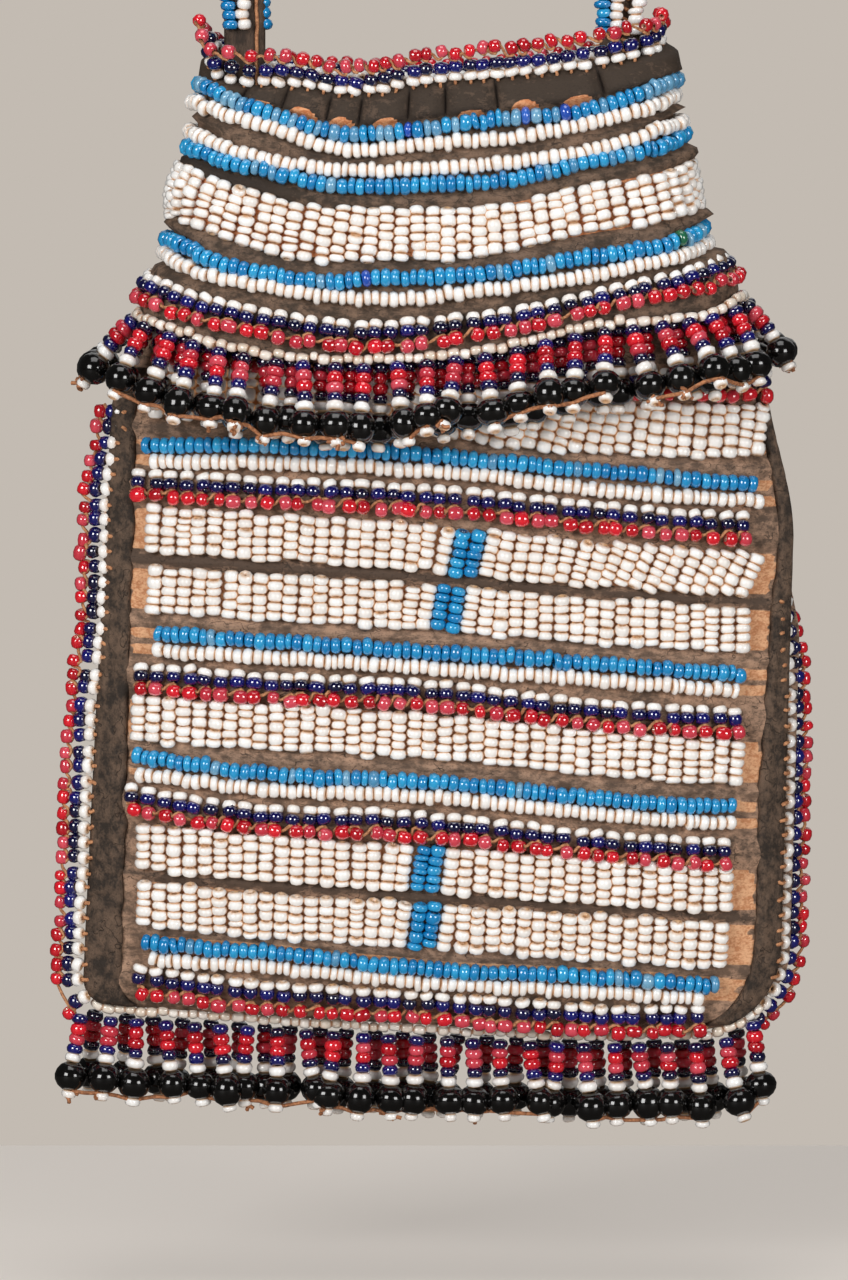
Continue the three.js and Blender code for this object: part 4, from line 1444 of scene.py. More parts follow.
class WallSpot(NamedTuple):
    """One place on a wall of the pouch, with its level, its depth and its share from the border."""

    x: float
    z: float
    level: float
    depth: float
    border: float


@dataclass
class Pouch:
    """The pouch: two hide walls, bindings, bead rows, side edgings, hem and fringe."""

    shop: Workshop
    form: PouchForm = field(default_factory=PouchForm)
    columns: int = 132
    rows: int = 150
    back_columns: int = 64
    back_rows: int = 72
    left_binding: tuple[float, float, float] = (4.1, 0.022, 7.0)
    right_binding: tuple[float, float, float] = (1.8, 0.042, 4.3)
    binding_thickness: float = 1.1
    right_fold: tuple[float, float, float] = (42.0, 106.0, 1.2)
    right_lip: float = 1.7
    left_edging: float = 100.6
    left_top: float = 101.0
    binding_top: float = 107.0
    stitched_from: float = 72.0
    right_edging: float = 98.5
    thread_radius: float = 0.28
    stitch_radius: float = 0.32
    cord_radius: float = 0.34
    pad_height: float = 0.85
    widest_gap: float = 7.0
    scraped_depth: float = 0.12
    rough: tuple[float, float] = (0.16, 3.2)
    edge_rounding: float = 0.4
    broad_crease: tuple[float, float] = (0.9, 26.0)
    fine_crease: tuple[float, float] = (0.35, 7.0)
    inset_lean: float = 7.0
    edging_reach: float = 3.95
    hem_overhang: tuple[float, float] = (3.2, 9.8)
    hem_drop: float = 0.65
    tassel_drop: float = 1.75
    layers: tuple[float, float] = (1.5, -2.3)
    tassels: int = 24

    def __post_init__(self) -> None:
        """Starts the bead worker and the pouch's threads."""
        self.craft = Craft(random.Random(SEED))
        self.threads = ThreadWork("pouch_threads", Body.POUCH, THREAD, self.thread_radius)
        self.stitches = ThreadWork("pouch_stitches", Body.POUCH, THREAD, self.stitch_radius)
        self.cords = ThreadWork("pouch_fringe_thread", Body.POUCH, CORD, self.cord_radius)
        self.sewn = [row for row in POUCH_ROWS if row.kind is not RowKind.PICOT]

    def binding_width(self, level: float, side: int) -> float:
        """Width of the bound strip on one side at a level."""
        top, growth, widest = self.left_binding if side < 0 else self.right_binding
        return min(top + growth * max(0.0, self.form.shoulder_z - level), widest)

    def mark(self, x: float, z: float) -> tuple[float, float, float]:
        """Relief, bare suede and wear of the front at one place, with painted shade between lane bands.

        Args:
            x: Place across.
            z: Height.

        Returns:
            Relief in millimetres, suede and wear from 0 to 1; between two lane bands the wear drops below 0
            as painted shade.
        """
        below, above = -1e3, 1e3
        kinds = [RowKind.PICOT, RowKind.PICOT]
        level = self.form.level(x, z)
        inner_left = self.form.edge_x(level, -1) + self.binding_width(level, -1)
        inner_right = self.form.edge_x(level, 1) - self.binding_width(level, 1)
        for row in self.sewn:
            middle = row.height(x)
            if abs(z - middle) <= row.half:
                bare = smooth(row.half, row.half - 1.1, abs(z - middle))
                torn = 1.5 * ripple(Vector((x, 1.0, 3.0 * z)), 2.2)
                left, right = x - inner_left - torn, inner_right - x - torn
                bare *= smooth(30.0, 52.0, z) if x < row.left else 1.0
                return -self.scraped_depth, bare * smooth(-0.5, 0.4, left) * smooth(-0.5, 0.4, right), 0.1
            if middle < z and middle + row.half > below:
                below, kinds[0] = middle + row.half, row.kind
            if middle > z and middle - row.half < above:
                above, kinds[1] = middle - row.half, row.kind
        gap = min(above - below, self.widest_gap)
        off = min(z - below, above - z)
        crown = clamp(off / (gap / 2), 0.0, 1.0)
        relief = min(self.pad_height, 0.3 * gap) * crown * (2 - crown)
        between_lanes = kinds == [RowKind.LANE, RowKind.LANE]
        # Painted shade: the wear drops by 0.8 in the narrow strip between two lane bands.
        worn = 0.3 * smooth(0.9, 0.0, off) - (0.8 if between_lanes else 0.0)
        return relief, 0.0, worn

    def spot(self, across: float, height: float) -> WallSpot:
        """A place on a wall, at a share across from -1 to 1 and a share of the way up."""
        level = self.form.mouth_z * height
        x = self.form.centre(level) + across * self.form.half_width_at(level, -1 if across < 0 else 1)
        z = self.form.raised(x, level)
        border = min(1 - abs(across), height * 1.5, (1 - height) * 1.5)
        return WallSpot(x, z, level, self.form.depth(x, z), border)

    def front(self) -> None:
        """Makes the front wall, padded between its rows and bare where the hide is scraped."""
        grid: Pairs = []
        suede, wear = [], []
        rough, rough_size = self.rough
        for r in range(self.rows + 1):
            line = []
            for c in range(self.columns + 1):
                x, z, _, depth, border = self.spot(2 * c / self.columns - 1, r / self.rows)
                # The wear mark also carries painted shade between lane bands.
                relief, bare, worn = self.mark(x, z)
                relief *= smooth(0.0, 0.06, border)
                relief += rough * ripple(Vector((x, 0.0, z * 1.6)), rough_size) * smooth(0.0, 0.03, border)
                rounding = self.edge_rounding * (1 - smooth(0.0, 0.012, border))
                inside = Vector((x, -depth + self.form.hide, z))
                line.append((Vector((x, -depth - relief + rounding, z)), inside))
                suede.append(bare)
                wear.append(worn)
            grid.append(line)
        shell = Shell("pouch_front_hide", grid, marks={"suede": suede, "wear": wear})
        piece = shell.build(POUCH_HIDE.material(self.shop.hides))
        settle(piece, Body.POUCH, Slot.POUCH_HIDE, ("pouch_front",))

    def back(self) -> None:
        """Makes the plain back wall, with the creases of a hide that has been carried."""
        grid: Pairs = []
        (broad, broad_size), (fine, fine_size) = self.broad_crease, self.fine_crease
        for r in range(self.back_rows + 1):
            line = []
            for c in range(self.back_columns + 1):
                across = 1 - 2 * c / self.back_columns
                x, z, level, depth, border = self.spot(across, r / self.back_rows)
                lip = self.right_lip * smooth(0.92, 1.0, across)
                x += lip * smooth(3.0, 9.0, level) * smooth(74.0, 64.0, level)
                crease = broad * ripple(Vector((x, 40.0, z)), broad_size)
                crease += fine * ripple(Vector((x * 0.5, 9.0, z)), fine_size)
                outside = Vector((x, depth + smooth(0.0, 0.08, border) * crease * 0.6, z))
                line.append((outside, Vector((x, depth - self.form.hide, z))))
            grid.append(line)
        piece = Shell("pouch_back_hide", grid).build(POUCH_HIDE.material(self.shop.hides))
        settle(piece, Body.POUCH, Slot.POUCH_HIDE, ("pouch_back",))

    def binding(self, side: int) -> None:
        """Makes the dark strip bound over one side of the front."""
        name = "left_binding" if side < 0 else "right_binding"
        steps, across = 120, 9
        grid: Pairs = []
        low = self.form.corner(side) * 0.1
        for r in range(steps + 1):
            level = lerp(low, self.binding_top, r / steps)
            ragged = 0.45 * ripple(Vector((side * 7.0, 3.0, level)), 4.5)
            ragged += 0.2 * ripple(Vector((1.0, 2.0, level)), 1.4)
            width = self.binding_width(level, side) + ragged
            line = []
            for c in range(across + 1):
                share = c / across
                inward = width * (1 - share if side > 0 else share)
                x = self.form.edge_x(level, side) - side * inward
                z = self.form.raised(x, level)
                crown = smooth(0.0, 0.16, min(share, 1 - share))
                height = self.binding_thickness * (0.5 + 0.5 * crown)
                fold = max(0.0, 1 - 9 * abs(ripple(Vector((x * 0.3, 8.0 * side, z)), 5.5)))
                height += (0.12 * ripple(Vector((x * 1.6, 5.0, z * 0.5)), 1.8) - 0.36 * fold) * crown
                line.append((self.form.place(x, -z, height), self.form.place(x, -z, -0.1)))
            grid.append(line)
        piece = Shell(f"{name}_hide", grid).build(BINDING_HIDE.material(self.shop.hides))
        settle(piece, Body.POUCH, Slot.BINDING_HIDE, (name,))

    def bead_rows(self) -> None:
        """Sews every row of the front."""
        for row in POUCH_ROWS:
            work = BeadWork.on(f"pouch_{row.kind.value}_{row.number}", Body.POUCH, ROW_SLOTS[row.kind])
            ends = (row.left, row.right)
            if row.kind is RowKind.LANE:
                self.lane_band(row, work)
            elif row.kind is RowKind.PICOT:
                self.craft.picot(work, self.threads, self.form, ends, lambda x, line=row: -line.height(x))
            else:
                blue = row.kind is RowKind.BLUE
                pick = self.craft.blue if blue else lambda x: Glass.WHITE
                size = self.craft.blue_size if blue else self.craft.white_size
                self.craft.row(work, self.form, ends, lambda x, line=row: -line.height(x), pick, size)
            work.build(self.shop)

    def lane_band(self, row: Row, work: BeadWork) -> None:
        """Sews a band of upright lanes, with two blue ones where the row has an inset."""
        count = round((row.right - row.left) / self.craft.lane_pitch)
        pitch = (row.right - row.left) / count
        inset = BeadWork.on(f"blue_inset_{row.number}", Body.POUCH, Slot.BLUE)
        first = -9 if row.inset is None else round((row.inset - row.left) / pitch) - 1
        for i in range(count):
            x = row.left + (i + 0.5) * pitch + self.craft.rng.gauss(0, 0.06)
            down = -row.height(x) + self.craft.rng.gauss(0, 0.2)
            near = 1 - smooth(3.0, 11.0, abs(x - row.inset)) if row.inset is not None else 0.0
            left, middle, right = row.leans
            lean = lerp(lerp(left, middle, smooth(0.1, 0.5, i / count)), right, smooth(0.5, 0.85, i / count))
            lean += self.inset_lean * near
            blue = first <= i < first + 2
            glass = Glass.BLUE if blue else Glass.WHITE
            self.craft.lane(inset if blue else work, self.form, (x, down), lean, row.tall, glass)
        if inset.beads:
            inset.build(self.shop)

    def edgings(self) -> None:
        """Works the picot edging of both side seams."""
        for side, name, length, fold in ((-1, "left_edging", self.left_edging, (0.0, 0.0, 0.0)),
                                         (1, "right_edging", self.right_edging, self.right_fold)):
            work = BeadWork.on(name, Body.POUCH, Slot.PICOT)
            edge = SeamEdge(self.form, side, *fold)
            if side < 0:
                edge = replace(edge, top=self.left_top)
            lift = (2.1, 1.4, 0.7) if side < 0 else (0.5, 0.3, 0.1)
            steps = (3.5, 1.95) if side < 0 else (3.85, 2.1)
            look = PicotLook(steps, lift, stray=0.25, red=(2.25, 1.95), legs=(1.65, 1.95))
            reach = self.left_reach if side < 0 else self.reach
            self.craft.picot(work, self.threads, edge, (0.0, length), reach, look)
            self.edge_stitches(side, [bead.centre for bead in work.beads if bead.glass is Glass.WHITE])
            work.build(self.shop)

    def reach(self, run: float) -> float:
        """How far the reds of an edging stand off the seam, at a run down from the shoulder."""
        fuller = 0.75 * smooth(38.0, 52.0, run)
        drawn_in = 0.35 * smooth(20.0, 30.0, run) * smooth(42.0, 34.0, run)
        return self.edging_reach + fuller - drawn_in

    def left_reach(self, run: float) -> float:
        """The left edging's reach, which draws in near the shoulder."""
        return self.reach(run) - 0.2 - 1.7 * smooth(15.0, 1.0, run)

    def edge_stitches(self, side: int, whites: list[Vector]) -> None:
        """Sews the short stitch that holds each white bead of an edging to the hide."""
        rng = self.craft.rng
        rise = self.binding_thickness * 0.7
        for white in whites:
            level = self.form.level(white.x, white.z)
            if level < 0.6 * self.form.corner(side) or side > 0 and level > self.stitched_from:
                continue
            inner = max(-side * self.form.edge_x(level, side), 0.8 - side * white.x)
            length = rng.uniform(0.45, 0.9)
            bend = self.form.place(-side * (inner + 0.5 * length), -white.z, rise + 0.35)
            end = self.form.place(-side * (inner + length), -white.z - rng.gauss(0, 0.15), rise + 0.1)
            self.stitches.add([white, bend, end])

    def hem(self) -> None:
        """Sews the cloudy beads along the bottom seam and hangs the fringe under them."""
        left = self.form.corner_x(-1) - self.hem_overhang[0]
        right = self.form.corner_x(1) + self.hem_overhang[1]
        work = BeadWork.on("pouch_hem_row", Body.POUCH, Slot.WHITE)
        line = HemLine(self.form)
        self.craft.row(work, line, (left, right), lambda x: self.hem_drop, lambda x: Glass.CLOUDY,
                       self.craft.hem_size)
        work.build(self.shop)
        fringe = BeadWork.on("pouch_fringe", Body.POUCH, Slot.FRINGE)
        rng = self.craft.rng
        for layer, forward in enumerate(self.layers):
            tips = []
            for i in range(self.tassels + 1 - layer):
                share = (i + 0.5 * layer) / self.tassels
                x = lerp(left - 1.5, right - 0.9, share) + rng.gauss(0, 0.22)
                lean = lerp(-1.2, 2.2, share) * abs(2 * share - 1) ** 2 / 10
                top = line.place(max(x, left + 1.6), self.tassel_drop, forward)
                top.x = x
                tilt = -0.1 * (1 - 2 * layer)
                heading = Vector((lean + rng.gauss(0, 0.055), tilt + rng.gauss(0, 0.05), -1.0))
                # The back layer's glass is made deeper as painted shade.
                tips.append(self.craft.tassel(fringe, top, heading, 0.8 * layer))
            if layer == 0:
                self.craft.garland(self.cords, tips)
                for tip in tips:
                    self.craft.fray(self.cords, tip, rng.choice((0, 0, 0, 2, 4)))
        fringe.build(self.shop)

    def build(self) -> None:
        """Makes every piece of the pouch."""
        self.front()
        self.back()
        self.binding(-1)
        self.binding(1)
        self.bead_rows()
        self.edgings()
        self.hem()
        for threads in (self.threads, self.stitches, self.cords):
            threads.build(self.shop)


@dataclass(frozen=True)
class HemLine:
    """The pouch's bottom edge as a surface: across is x, down runs below the edge, out faces the front."""

    form: PouchForm

    def place(self, across: float, down: float, out: float) -> Vector:
        """A point below the bottom edge."""
        return Vector((across, -out, self.form.bottom_edge(across) - down))


@dataclass
class Cover:
    """The sliding cover: a hide cone with its own bead rows, rim edging, hem and fringe."""

    shop: Workshop
    form: CoverForm = field(default_factory=CoverForm)
    columns: int = 340
    rim_rows: int = 14
    rows: int = 44
    tassels: int = 49
    slit_places: tuple[float, ...] = (-31.0, -24.6, -17.7, -12.7, -5.0, 0.8, 8.9, 25.5)
    arches: tuple[tuple[float, float, float], ...] = (
        (-28.2, 1.8, 1.3),
        (-21.7, 2.1, 1.7),
        (-15.6, 1.9, 1.5),
        (-8.7, 2.1, 1.1),
        (4.8, 2.0, 0.8),
        (13.3, 2.2, 1.5),
        (21.7, 2.5, 1.1),
    )
    odd_beads: tuple[tuple[str, float, Glass], ...] = (
        ("cover_blue_row_1", -5.5, Glass.ROYAL),
        ("cover_blue_row_1", 14.2, Glass.ROYAL),
        ("cover_blue_row_1", 20.3, Glass.ROYAL),
        ("cover_blue_row_3", -12.2, Glass.ROYAL),
        ("cover_blue_row_3", 37.7, Glass.GREEN),
    )

    def __post_init__(self) -> None:
        """Starts the bead worker, the surface and the cover's threads."""
        self.craft = Craft(random.Random(SEED + 1))
        self.surface = CoverSurface(self.form)
        self.sunk = SunkSurface(self.surface)
        self.threads = ThreadWork("cover_threads", Body.COVER, THREAD, 0.27)
        self.cords = ThreadWork("cover_fringe_thread", Body.COVER, CORD, 0.34)
        self.slits = [self.front_across(x) for x in self.slit_places]
        self.singles = [course for course in COURSES if course.kind in (RowKind.BLUE, RowKind.WHITE)]
        self.lanes = next(course for course in COURSES if course.kind is RowKind.LANE)
        self.reds = next(course for course in COURSES if course.kind is RowKind.PICOT)

    def front_across(self, x: float) -> float:
        """Distance round the cover at which its front lies at x, near the rim."""
        step = 0.1
        places = [i * step for i in range(round(self.surface.around / step))]
        spots = [(across, self.surface.place(across, 140.0, 0.0)) for across in places]
        return min((abs(spot.x - x), across) for across, spot in spots if spot.y < 0)[1]

    def mark(self, across: float, slant: float) -> tuple[float, float, float, float]:
        """Relief, depth under the rows, bare suede, and wear less painted shade, of the cone at one place;
        the shade darkens the rim, its slits and a strip low on the left.
        """
        near = min(abs(slant - course.slant) - 1.2 for course in self.singles)
        near = min(near, abs(slant - self.lanes.slant) - 3.75)
        relief = -0.1 if near < 0 else min(0.5, 0.5 * near)
        sunk = self.sunk.depth(across, slant) * lerp(0.25, 1.0, smooth(0.6, -0.4, near))
        spot = self.surface.place(across, slant, 0.0)
        beside = min(abs(across - slit) for slit in self.slits)
        rim = smooth(143.0, 141.4, slant)
        relief += rim * (0.9 * smooth(0.0, 2.6, beside) - 0.7 * smooth(0.4, 0.1, beside))
        corner = 0.0
        for middle, half, height in self.arches:
            share = 1 - ((spot.x - middle) / half) ** 2
            if share > 0 and spot.y < 0 and slant < 143.6:
                corner = max(corner, smooth(0.25, -0.25, 142.5 - slant - height * math.sqrt(share)))
        under = smooth(0.1, -0.6, near) * (abs(slant - self.lanes.slant) < 4.5)
        left = smooth(-18.0, -30.0, spot.x)
        shade = rim * (0.6 + 1.1 * smooth(0.35, 0.12, beside))
        shade += 1.2 * left * smooth(1.6, 0.8, abs(slant - 155.2))
        return relief, sunk, max(corner, under), 0.2 * smooth(0.8, 0.0, near) - shade

    def cone(self) -> None:
        """Makes the hide cone, puckered at its rim."""
        grid: Pairs = []
        suede, wear = [], []
        band = 144.2
        slants = [lerp(self.form.hem, band, r / self.rows) for r in range(self.rows)]
        slants += [lerp(band, self.form.rim, r / self.rim_rows) for r in range(self.rim_rows + 1)]
        places = [self.surface.around * c / self.columns for c in range(self.columns)]
        places += [slit + off for slit in self.slits for off in (-0.3, -0.1, 0.1, 0.3)]
        places.sort()
        for slant in slants:
            line = []
            for across in places:
                # The wear mark also carries painted shade on the rim, at its slits and in a strip on the
                # left.
                relief, sunk, bare, worn = self.mark(across, slant)
                edge = smooth(0.0, 1.6, min(slant - self.form.rim, self.form.hem - slant))
                relief += 0.15 * ripple(Vector((across, 3.0, slant * 1.5)), 3.0)
                outside = self.surface.place(across, slant, relief * edge - 0.3 * (1 - edge) - sunk)
                line.append((outside, self.surface.place(across, slant, -self.form.hide - sunk)))
                suede.append(bare)
                wear.append(worn)
            grid.append(line)
        shell = Shell("cover_cone_hide", grid, wraps=True, marks={"suede": suede, "wear": wear})
        piece = shell.build(COVER_HIDE.material(self.shop.hides))
        settle(piece, Body.COVER, Slot.COVER_HIDE, ("cover_cone",))

    def sway(self, slant: float) -> Curve:
        """A row's slant at a place round the cover, with a slow unevenness."""
        around = self.surface.around
        return lambda across: slant + 0.12 * math.sin(14 * math.pi * across / around + slant)

    def faded_blue(self, across: float) -> Glass:
        """Blue glass that has gone cloudy on many beads."""
        return Glass.HAZE if self.craft.rng.random() < 0.45 else self.craft.blue(across)

    def place_odd_beads(self, work: BeadWork, node: str) -> None:
        """Changes the glass of the few beads that stand out in a row."""
        for name, x, glass in self.odd_beads:
            if name == node:
                front = [i for i, bead in enumerate(work.beads) if bead.centre.y < 0]
                nearest = min(front, key=lambda i: abs(work.beads[i].centre.x - x))
                work.beads[nearest] = work.beads[nearest]._replace(glass=glass)

    def bead_rows(self) -> None:
        """Sews the rows that go round the cone."""
        whole = (0.0, self.surface.around)
        for course in self.singles:
            node = f"cover_{course.kind.value}_{course.number}"
            blue = course.kind is RowKind.BLUE
            work = BeadWork.on(node, Body.COVER, ROW_SLOTS[course.kind])
            pick = self.craft.blue if blue else lambda across: Glass.WHITE
            if node == "cover_blue_row_1":
                pick = self.faded_blue
            size = self.craft.blue_size if blue else self.craft.white_size
            self.craft.row(work, self.sunk, whole, self.sway(course.slant), pick, size)
            self.place_odd_beads(work, node)
            work.build(self.shop)
        lanes = BeadWork.on("cover_lane_band_1", Body.COVER, Slot.WHITE)
        count = round(self.surface.around / self.craft.lane_pitch)
        for i in range(count):
            across = self.surface.around * (i + 0.5) / count + self.craft.rng.gauss(0, 0.08)
            down = self.sway(self.lanes.slant)(across) + self.craft.rng.gauss(0, 0.28)
            right = smooth(2.0, 16.0, self.surface.place(across, down, 0.0).x)
            height = lerp(8.8, 7.7, right)
            lean = self.craft.rng.gauss(0, 1.5)
            self.craft.lane(lanes, self.sunk, (across, down), lean, height, Glass.WHITE)
        lanes.build(self.shop)
        hem = BeadWork.on("cover_hem_row_1", Body.COVER, Slot.WHITE)
        level = self.sway(COURSES[-1].slant)
        self.craft.row(hem, self.surface, whole, level, lambda across: Glass.CLOUDY, self.craft.hem_size)
        hem.build(self.shop)

    def picots(self) -> None:
        """Works the picot row above the hem and the edging on the rim."""
        whole = (0.0, self.surface.around)
        low = BeadWork.on("cover_picot_row_1", Body.COVER, Slot.PICOT)
        self.craft.picot(low, self.threads, self.sunk, whole, self.sway(self.reds.slant))
        low.build(self.shop)
        rim = BeadWork.on("rim_edging", Body.COVER, Slot.PICOT)
        edge = RimEdge(self.sunk)
        look = PicotLook((4.05, 2.4), (0.15, 0.35, 0.6), sense=-1, stray=0.24, stitch=0.7, red=(2.35, 1.8),
                         legs=(1.42, 1.85))
        self.craft.picot(rim, self.threads, edge, whole, lambda across: self.form.rim - 4.6, look)
        rim.build(self.shop)

    def fringe(self) -> None:
        """Hangs two layers of tassels round the hem."""
        work = BeadWork.on("cover_fringe", Body.COVER, Slot.FRINGE)
        rng = self.craft.rng
        for layer, out, spread, side_spread in ((0, 0.9, 0.58, 1.05), (1, -1.2, 0.3, 0.6)):
            tips = []
            for i in range(self.tassels):
                across = self.surface.around * (i + 0.5 * layer) / self.tassels + rng.gauss(0, 0.2)
                top = self.surface.place(across, self.form.hem - 0.1, out)
                away = self.surface.place(across, self.form.hem, 1.0)
                away -= self.surface.place(across, self.form.hem, 0.0)
                side = clamp(abs(top.x / 48.0) ** (7 if top.x < 0 else 4), 0.0, 1.0)
                lift = 0.16 * smooth(2.0, 20.0, top.x) * (1 - layer)
                lean = away * lerp(spread + lift, side_spread, side) + DOWN + self.craft.wander(0.08)
                lean.x += 0.6 * smooth(28.0, 38.0, top.x) * smooth(46.0, 40.0, top.x) * (1 - 0.5 * layer)
                # The back layer's glass is made deeper as painted shade.
                tips.append(self.craft.tassel(work, top, lean, 0.8 * layer))
            if layer == 0:
                self.craft.garland(self.cords, tips + tips[:1])
                for tip in tips:
                    self.craft.fray(self.cords, tip, rng.choice((0, 0, 1, 4)))
        work.build(self.shop)

    def build(self) -> None:
        """Makes every piece of the cover."""
        self.cone()
        self.bead_rows()
        self.picots()
        self.fringe()
        self.threads.build(self.shop)
        self.cords.build(self.shop)


@dataclass(frozen=True)
class SunkSurface:
    """The cover's surface where its rows sit deep in the hide, near its two sides."""

    base: CoverSurface

    def depth(self, across: float, slant: float) -> float:
        """How deep a row sits at one place."""
        half = slant * math.sin(math.radians(self.base.form.half_angle))
        share = self.base.place(across, slant, 0.0).x / half
        above, below, part = self.base.form.between(slant)
        side = 0 if share < 0 else 1
        return smooth(0.78, 1.0, abs(share)) * lerp(above.sink[side], below.sink[side], part)

    def place(self, across: float, down: float, out: float) -> Vector:
        """A point off the sunk surface."""
        return self.base.place(across, down, out - self.depth(across, down))


@dataclass(frozen=True)
class RimEdge:
    """The cover's rim as a surface whose edging leans out as it rises."""

    sunk: SunkSurface
    flare: float = 0.27
    left_flare: float = 0.62
    back_flare: float = 0.75
    back_drop: float = 0.5

    def place(self, across: float, down: float, out: float) -> Vector:
        """A point on or above the rim."""
        rim = self.sunk.base.form.rim
        above = max(0.0, rim - down)
        inside = 0.65 * min(1.0, above)
        foot = self.sunk.base.place(across, rim, 0.0)
        behind = smooth(1.0, 6.0, foot.y)
        flare = lerp(self.flare, self.left_flare, smooth(-25.0, -35.0, foot.x))
        flare = lerp(flare, self.back_flare, behind)
        return self.sunk.place(across, down + self.back_drop * behind * above, out - inside + flare * above)


@dataclass(frozen=True)
class StrapString:
    """One string of beads along the strap, which changes its place from the left run to the right one."""

    node: str
    slot: Slot
    glasses: tuple[Glass, Glass]
    downs: tuple[float, float]
    outs: tuple[float, float]
    form: StrapForm

    def turned(self, across: float) -> float:
        """0 on the left run and 1 on the right one, with a soft change over the arch."""
        return smooth(0.38, 0.62, across / self.form.length)

    def place(self, across: float, down: float, out: float) -> Vector:
        """A point off the string's line."""
        share = self.turned(across)
        return self.form.place(across, down + lerp(*self.downs, share), out + lerp(*self.outs, share))

    def pick(self, across: float) -> Glass:
        """The glass at a place along the strap."""
        return self.glasses[round(self.turned(across))]


@dataclass
class Strap:
    """The carrying strap: a hide thong with three strings of beads, a seam and a ladder of stitches."""

    shop: Workshop
    form: StrapForm = field(default_factory=StrapForm.from_frame)
    width: float = 6.6
    thickness: float = 1.8
    steps: int = 200
    beads_from: float = 48.8

    def __post_init__(self) -> None:
        """Starts the bead worker and the strap's seam."""
        self.craft = Craft(random.Random(SEED + 2))
        self.seam = ThreadWork("strap_threads", Body.POUCH, THREAD, 0.32)

    def thong(self) -> None:
        """Makes the hide thong as one closed band."""
        half, deep = self.width / 2, self.thickness / 2
        section = ((-half, 0.5), (-half + 0.4, 1.0), (0.0, 1.12), (half - 0.4, 1.0), (half, 0.5))
        grid: Pairs = []
        place = self.form.place
        for i in range(self.steps + 1):
            run = self.form.length * i / self.steps
            rough = 0.12 * ripple(Vector((run, 2.0, 0.0)), 3.0)
            grid.append([(place(run, down, deep * out + rough), place(run, down, -deep * out + rough))
                         for down, out in section])
        piece = Shell("strap_thong", grid).build(STRAP_HIDE.material(self.shop.hides))
        settle(piece, Body.POUCH, Slot.STRAP_HIDE, ("strap",))

    def bead_rows(self) -> None:
        """Sews the three strings of beads."""
        ends = (self.beads_from, self.form.length - self.beads_from)
        blue, white, form = Glass.BLUE, Glass.WHITE, self.form
        strings = (
            StrapString("strap_outer_beads", Slot.BLUE, (blue, white), (-2.7, -2.6), (0.3, 0.6), form),
            StrapString("strap_inner_beads", Slot.BLUE, (blue, blue), (3.0, 2.8), (-1.9, 0.2), form),
            StrapString("strap_front_beads", Slot.WHITE, (white, white), (-0.2, 0.5), (0.85, 0.85), form),
        )
        for string in strings:
            work = BeadWork(f"{string.node}_string", Body.POUCH, string.slot, (string.node,))
            size = self.craft.blue_size if string.slot is Slot.BLUE else self.craft.white_size
            self.craft.row(work, string, ends, lambda run: 0.0, string.pick, (0.92 * size[0], size[1]))
            work.build(self.shop)

    def stitches(self) -> None:
        """Sews the seam along the left run and the arch, and the ladder of stitches down the right run."""
        step, start = 1.7, 12.0
        front = self.thickness / 2 + 0.15
        gauss = self.craft.rng.gauss
        runs = [start + step * i for i in range(round((self.form.length - 2 * start) / step) + 1)]
        crossing = 0.62 * self.form.length
        seam = [run for run in runs if run < crossing]
        self.seam.add([self.form.place(run, 1.9 + gauss(0, 0.12), front + gauss(0, 0.06)) for run in seam])
        for run in runs[len(seam):]:
            slope = gauss(0.3, 0.15)
            ends = ((-0.3, -slope, front - 0.2), (-0.8, 0.0, front + 0.15), (-1.4, slope, front - 0.2))
            self.seam.add([self.form.place(run + along, down, out) for down, along, out in ends])
        self.seam.build(self.shop)

    def build(self) -> None:
        """Makes every piece of the strap."""
        self.thong()
        self.bead_rows()
        self.stitches()


@dataclass(frozen=True)
class Lamp:
    """A soft square lamp aimed at the bag."""

    name: str
    place: Vector
    size: float
    power: float
    colour: tuple[float, float, float] = (1.0, 0.99, 0.978)

    def light(self, target: Vector) -> None:
        """Sets the lamp up."""
        data = bpy.data.lights.new(self.name, "AREA")
        data.size = self.size * MM
        data.energy = self.power
        data.color = self.colour
        lamp = bpy.data.objects.new(self.name, data)
        lamp.location = PLACING.row(self.place)
        lamp.rotation_euler = (PLACING.row(target) - lamp.location).to_track_quat("-Z", "Y").to_euler()
        bpy.context.scene.collection.objects.link(lamp)


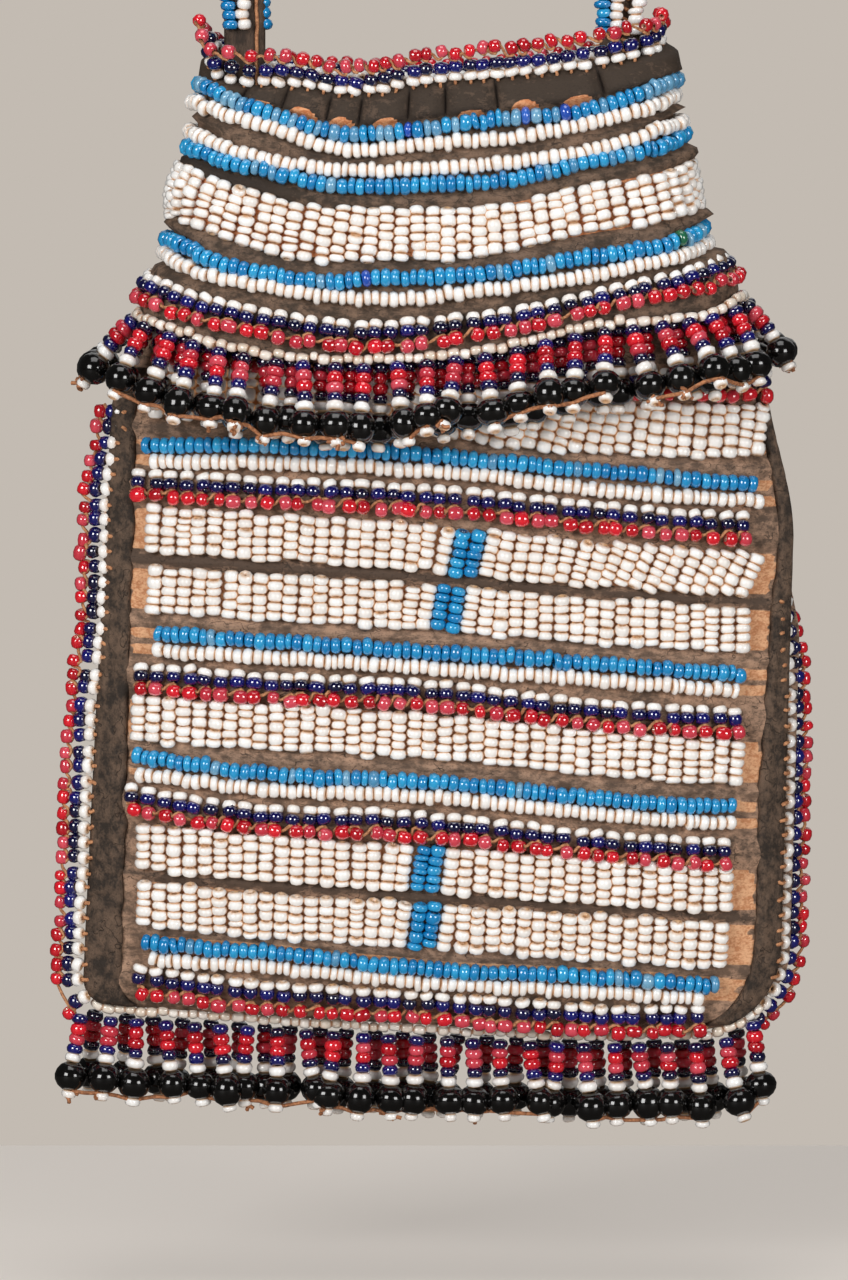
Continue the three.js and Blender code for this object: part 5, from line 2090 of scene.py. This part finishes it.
@dataclass
class Studio:
    """Floor, lamps, surroundings and camera."""

    target: Vector = field(default_factory=lambda: Vector((-2.6, -8.0, 64.3)))
    distance: float = 1000.0
    pitch: float = math.radians(5.1)
    frame_height: float = 204.8
    sensor: float = 36.0
    floor_z: float = -42.0
    floor_back: float = 135.0
    floor_reach: float = 2500.0
    wall: Colour = srgb(195, 187, 178)
    around: Colour = srgb(235, 233, 230)
    around_strength: float = 0.18
    mirrored_strength: float = 0.05
    floor_colour: Colour = srgb(222, 215, 208)
    floor_mirrored: Colour = srgb(84, 80, 76)
    floor_glow: float = 0.24

    def camera(self) -> None:
        """Sets the camera up at the photograph's angle."""
        data = bpy.data.cameras.new("camera")
        data.sensor_width = self.sensor
        data.lens = self.sensor * self.distance / self.frame_height
        data.clip_end = 20.0
        camera = bpy.data.objects.new("camera", data)
        back = Vector((0.0, -math.cos(self.pitch), math.sin(self.pitch)))
        camera.location = PLACING.row(self.target + back * self.distance)
        camera.rotation_euler = (-back).to_track_quat("-Z", "Y").to_euler()
        bpy.context.scene.collection.objects.link(camera)
        bpy.context.scene.camera = camera

    def floor(self) -> None:
        """Lays the plain pale floor."""
        reach = self.floor_reach
        corners = [(-reach, -reach), (reach, -reach), (reach, self.floor_back), (-reach, self.floor_back)]
        mesh = bpy.data.meshes.new("floor")
        mesh.from_pydata([PLACING.row(Vector((x, y, self.floor_z))) for x, y in corners], [], [(0, 1, 2, 3)])
        material, desk, shader = new_material("floor")
        place = desk.add("ShaderNodeTexCoord").outputs["Object"]
        cloud = desk.grain(place, 90.0)
        tint = tuple(0.96 * part for part in self.floor_colour[:3]) + (1.0,)
        path = desk.add("ShaderNodeLightPath").outputs
        pale = desk.mix(cloud, self.floor_colour, tint)
        desk.feed(shader, "Base Color", desk.mix(path["Is Glossy Ray"], pale, self.floor_mirrored))
        desk.feed(shader, "Roughness", 0.7)
        seen = path["Is Camera Ray"]
        desk.feed(shader, "Emission Color", self.floor_colour)
        desk.feed(shader, "Emission Strength", desk.maths("MULTIPLY", seen, self.floor_glow))
        mesh.materials.append(material)
        link("floor", mesh)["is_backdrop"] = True

    def world(self) -> None:
        """Sets the soft surroundings and the plain wall colour behind the bag."""
        world = bpy.data.worlds.new("studio")
        world.use_nodes = True
        desk = NodeDesk(world.node_tree)
        world.node_tree.nodes.clear()
        path = desk.add("ShaderNodeLightPath").outputs
        looks = ((self.around, self.around_strength), (self.around, self.mirrored_strength), (self.wall, 1.0))
        soft, dim, wall = (desk.out("ShaderNodeBackground", {"Color": colour, "Strength": strength})
                           for colour, strength in looks)
        around = desk.out("ShaderNodeMixShader", {0: path["Is Glossy Ray"], 1: soft, 2: dim})
        either = desk.out("ShaderNodeMixShader", {0: path["Is Camera Ray"], 1: around, 2: wall})
        desk.add("ShaderNodeOutputWorld", {"Surface": either})
        bpy.context.scene.world = world

    def build(self) -> None:
        """Sets the whole studio up."""
        bpy.context.scene.view_settings.view_transform = "Standard"
        self.camera()
        self.floor()
        self.world()
        middle = Vector((0.0, 0.0, 85.0))
        lamps = (
            Lamp("key", Vector((-600.0, -860.0, 400.0)), 460.0, 7.0),
            Lamp("fill", Vector((620.0, -880.0, 270.0)), 400.0, 4.75),
            Lamp("top", Vector((0.0, -160.0, 900.0)), 500.0, 2.0),
            Lamp("back", Vector((150.0, 950.0, 700.0)), 1000.0, 1.6),
        )
        for lamp in lamps:
            lamp.light(middle)


def main() -> None:
    """Builds the studio and the bag, piece by piece."""
    logging.basicConfig(level=logging.INFO, format="%(message)s")
    Studio().build()
    shop = Workshop()
    Pouch(shop).build()
    Cover(shop).build()
    Strap(shop).build()
    shop.clear()
    boxes = {"cad": CAD_BOX, "visual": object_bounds()}
    {name: [list(corner) for corner in box] for name, box in boxes.items()}


if __name__ == "__main__":
    main()
